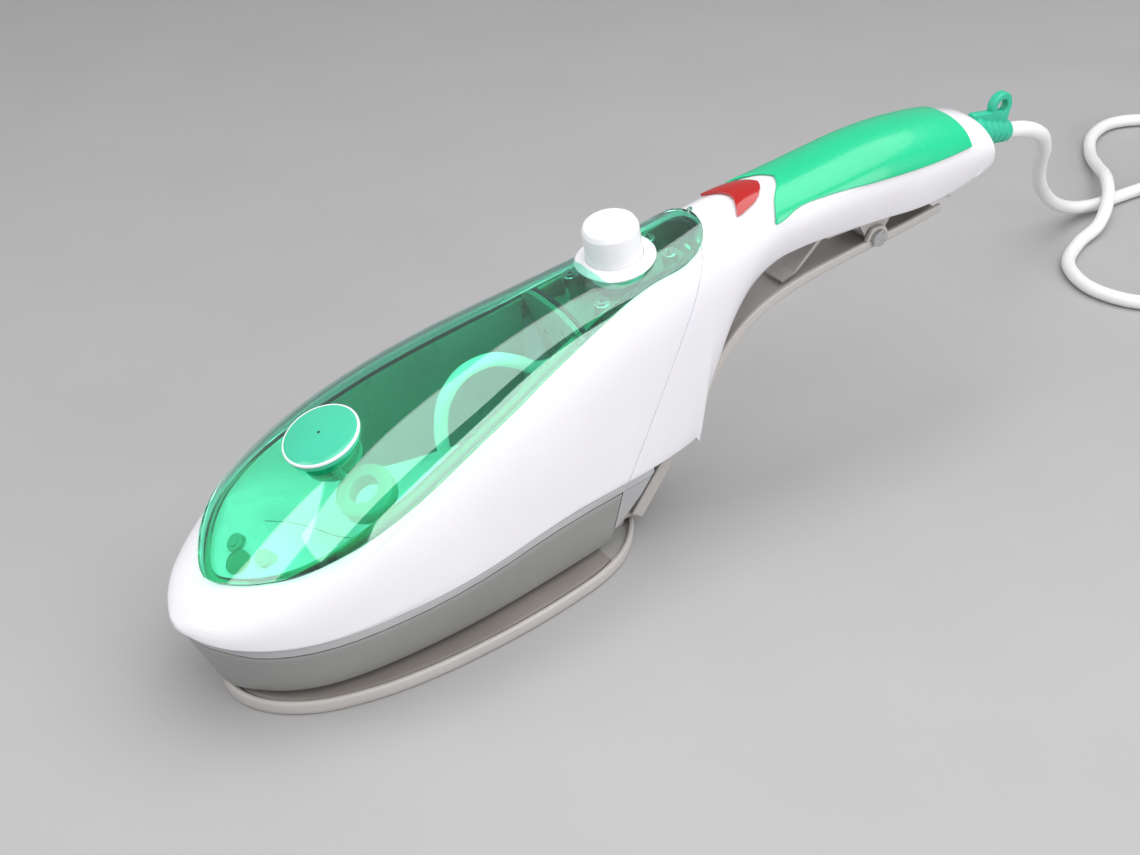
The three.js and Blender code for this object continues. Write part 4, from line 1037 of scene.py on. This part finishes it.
def make_tray():
    stations = [TRAY_FRONT + 46.6 * (i / 36) ** 2 for i in range(36)] + span(60, 150, 3)
    stations += [TRAY_REAR - 44 * (1 - i / 30) ** 2 for i in range(31)]
    loop = plan_loop(tray_half, stations)
    wall = [(4.0, 0.0), (1.4, 0.0), (0.5, 0.25), (0.1, 0.9), (0.0, 1.8), (0.0, 4.7), (0.25, 5.4), (0.7, 5.75),
            (1.2, 5.8), (1.7, 5.7), (2.0, 5.3), (2.15, 4.6), (2.4, 3.6), (3.2, 3.3), (4.6, 3.2)]
    rows = [[over(u, y, z) for u, y in inset_loop(loop, d)] for d, z in wall]
    verts, faces = grid(rows, wrap=True)
    n = len(loop)
    faces.append(tuple(range(n)))
    last = (len(rows) - 1) * n
    faces.append(tuple(last + i for i in reversed(range(n))))
    obj_from("tray_shell", verts, faces, WARM_GREY, "clamp", ("press_tray",))
    inner = [p for p in inset_loop(loop, 3.4) if p[0] < 170]
    plate = ((0, 2.9), (0, 4.2), (0.4, 4.55), (1.2, 4.6))
    rows = [[over(u, y, z) for u, y in inset_loop(inner, d)] for d, z in plate]
    verts, faces = grid(rows, wrap=True)
    n = len(inner)
    faces.append(tuple(3 * n + i for i in reversed(range(n))))
    obj_from("press_surface", verts, faces, TAUPE, "clamp", ("press_plate",))


make_tray()


# ---------- clamp lever ----------
def lever_frames():
    line = spline([(u, z) for u, z in LEVER_LINE], 6)
    out = []
    for i, p in enumerate(line):
        ahead = line[min(i + 1, len(line) - 1)] - line[max(i - 1, 0)]
        ahead.normalize()
        out.append((p, Vector((-ahead.y, ahead.x)), i / (len(line) - 1)))
    return out


def make_lever():
    rows = []
    for p, up, s in lever_frames():
        deep = 7.5 + (4.4 - 7.5) * s
        section = rounded([(-11.5, deep, 0.6), (-11.5, 0, 2.2), (11.5, 0, 2.2), (11.5, deep, 0.6),
                           (9.7, deep, 0.4), (9.7, 1.5, 1.4), (-9.7, 1.5, 1.4), (-9.7, deep, 0.4)],
                          0.5, 4, closed=True)
        rows.append([over(p.x + up.x * d, y, p.y + up.y * d) for y, d in section])
    verts, faces = caps(rows, *grid(rows, wrap=True))
    lever = obj_from("lever_shell", verts, faces, WARM_GREY)
    soften(lever, 0.4, angle=60)
    own(lever, "clamp", ("clamp_lever",))
    foot = [(171, 2.4), (186, 2.4), (187.4, 6.3), (197.5, 6.3), (199.5, 9.6), (186.6, 9.6), (184, 4.8),
            (171, 4.8)]
    step = prism("lever_foot", foot, -8, 8, over)
    step.data.materials.append(WARM_GREY)
    soften(step, 0.4, angle=40)
    own(step, "clamp")
    for side in (-1, 1):
        lobe = rounded([(306.5, 98), (309.6, 103.2), (316.4, 103.2), (319.5, 98.4)], 2.0)
        cheek = prism(f"lever_cheek_{(side + 3) // 2}", lobe, side * 9.7, side * 11.5, over)
        cheek.data.materials.append(WARM_GREY)
        soften(cheek, 0.3, angle=40)
        own(cheek, "clamp")


make_lever()


# ---------- cord guard ----------
def make_guard():
    direction = Vector((397 - 372.2, 0, -5.6)).normalized()
    axis = Matrix.Translation(at(372.2, 0, 117)) @ direction.to_track_quat("Z", "Y").to_matrix().to_4x4()
    long = 25.4
    profile = [(3.9, -6), (6.2, -6), (6.25, 2.4, 0.4), (6.9, 2.8, 0.4), (6.9, 4.6, 0.4), (6.2, 5.0, 0.3)]
    for k in range(4):
        z = 7.2 + 4.0 * k
        r = 6.1 - 0.26 * k
        profile += [(r, z, 0.2), (r - 0.55, z + 0.35, 0.2), (r - 0.55, z + 1.5, 0.2),
                    (r - 0.08, z + 1.85, 0.2)]
    profile += [(4.9, long - 0.4, 0.4), (3.9, long, 0.2), (3.9, -6)]
    turned("guard_sleeve", rounded(profile, 0.2), axis, GREEN_GUARD, "steamer", ("cord_guard",), 56)
    web = rounded([(373.5, 119), (390, 115.4), (395.5, 116.8), (396.6, 121), (391, 122.6), (384, 123.4),
                   (373.5, 125.0)], 1.0, 5, closed=True)
    fin = prism("guard_fin", web, -1.9, 1.9)
    fin.data.materials.append(GREEN_GUARD)
    soften(fin, 0.7, angle=40, segments=3)
    own(fin, "steamer")
    eye = Matrix.Translation(at(391, 0, 124.4)) @ Matrix.Rotation(math.radians(90), 4, "X")
    loop = rounded([(3.1, -1.5), (3.6, -2.0), (5.6, -2.0), (6.2, -1.4), (6.2, 1.4), (5.6, 2.0), (3.6, 2.0),
                    (3.1, 1.5), (3.1, -1.5)], 0.4)
    turned("guard_eye", loop, eye, GREEN_GUARD, "steamer", (), 56)


make_guard()


# ---------- CAD pieces that keep their shape ----------
KEPT = {
    "handle_cover": (WHITE_SATIN, 0.4), "base_frame": (LIGHT_GREY, 0.0), "clamp_bracket": (WARM_GREY, 0.25),
    "bracket_screw_1": (STEEL, 0.2), "bracket_screw_2": (STEEL, 0.2), "hinge_pin": (STEEL, 0.4),
    "cover_screw_1": (STEEL, 0.1), "cover_screw_2": (STEEL, 0.1), "soleplate": (ALUMINIUM, 0.3),
    "chamber_gasket": (RUBBER, 0.1), "chamber_cover": (ALUMINIUM, 0.3), "heating_element": (STEEL, 0.0),
    "thermostat": (CERAMIC, 0.2), "thermal_fuse": (CERAMIC, 0.1), "heat_shield": (STEEL, 0.1),
    "steam_inlet": (BRASS, 0.1), "outlet_tube": (SILICONE, 0.0), "pump_cylinder": (PUMP_CLEAR, 0.3),
    "pump_plunger": (WHITE_SATIN, 0.2), "piston_seal": (DARK, 0.1), "pump_spring": (STEEL, 0.1),
    "inlet_valve": (BRASS, 0.1), "filler_seal": (SILICONE, 0.1), "indicator_lamp": (RED, 0.1),
    "terminal_block": (CERAMIC, 0.3), "cord_clamp": (WHITE_SATIN, 0.3), "cord_clamp_screw_1": (STEEL, 0.1),
    "cord_clamp_screw_2": (STEEL, 0.1), "clamp_spring": (STEEL, 0.1), "lever_screw_1": (STEEL, 0.1),
    "lever_screw_2": (STEEL, 0.1), "coil_tie": (DARK, 0.3),
}


def keep_cad_pieces():
    for name, (mat, bevel) in KEPT.items():
        obj = NODES[name]
        obj.data.materials.clear()
        obj.data.materials.append(mat)
        if bevel:
            m = obj.modifiers.new("edge", "BEVEL")
            m.width = bevel * MM
            m.segments = 2
            m.limit_method = "ANGLE"
            m.angle_limit = math.radians(40)
            m.harden_normals = True


keep_cad_pieces()


# ---------- studio ----------
def make_studio():
    floor = obj_from("floor", [(-6, -6, 0), (6, -6, 0), (6, 6, 0), (-6, 6, 0)], [(0, 1, 2, 3)],
                     moulded("floor_paper", (0.375, 0.368, 0.372), (0.385, 0.378, 0.382), (0.6, 0.7)))
    world = bpy.data.worlds.new("studio")
    world.use_nodes = True
    world.node_tree.nodes["Background"].inputs["Color"].default_value = (0.95, 0.97, 1.0, 1)
    world.node_tree.nodes["Background"].inputs["Strength"].default_value = 0.35
    bpy.context.scene.world = world
    bpy.context.scene.view_settings.view_transform = "Standard"

    def lamp(name, where, target, size, power, tone=(1, 1, 1)):
        data = bpy.data.lights.new(name, "AREA")
        data.shape = "RECTANGLE"
        data.size, data.size_y = size
        data.energy = power
        data.color = tone
        obj = bpy.data.objects.new(name, data)
        bpy.context.scene.collection.objects.link(obj)
        obj.location = where
        obj.rotation_euler = (Vector(target) - Vector(where)).to_track_quat("-Z", "Y").to_euler()

    lamp("overhead_box", (0.0, -0.32, 1.1), (0.0, -0.32, 0), (2.2, 1.3), 21)
    lamp("left_box", (-1.2, 0.5, 0.8), (0, 0, 0.05), (0.8, 0.9), 6)
    lamp("front_box", (0.45, -1.5, 0.55), (0.0, 0.0, 0.06), (1.5, 0.8), 12.5)


make_studio()
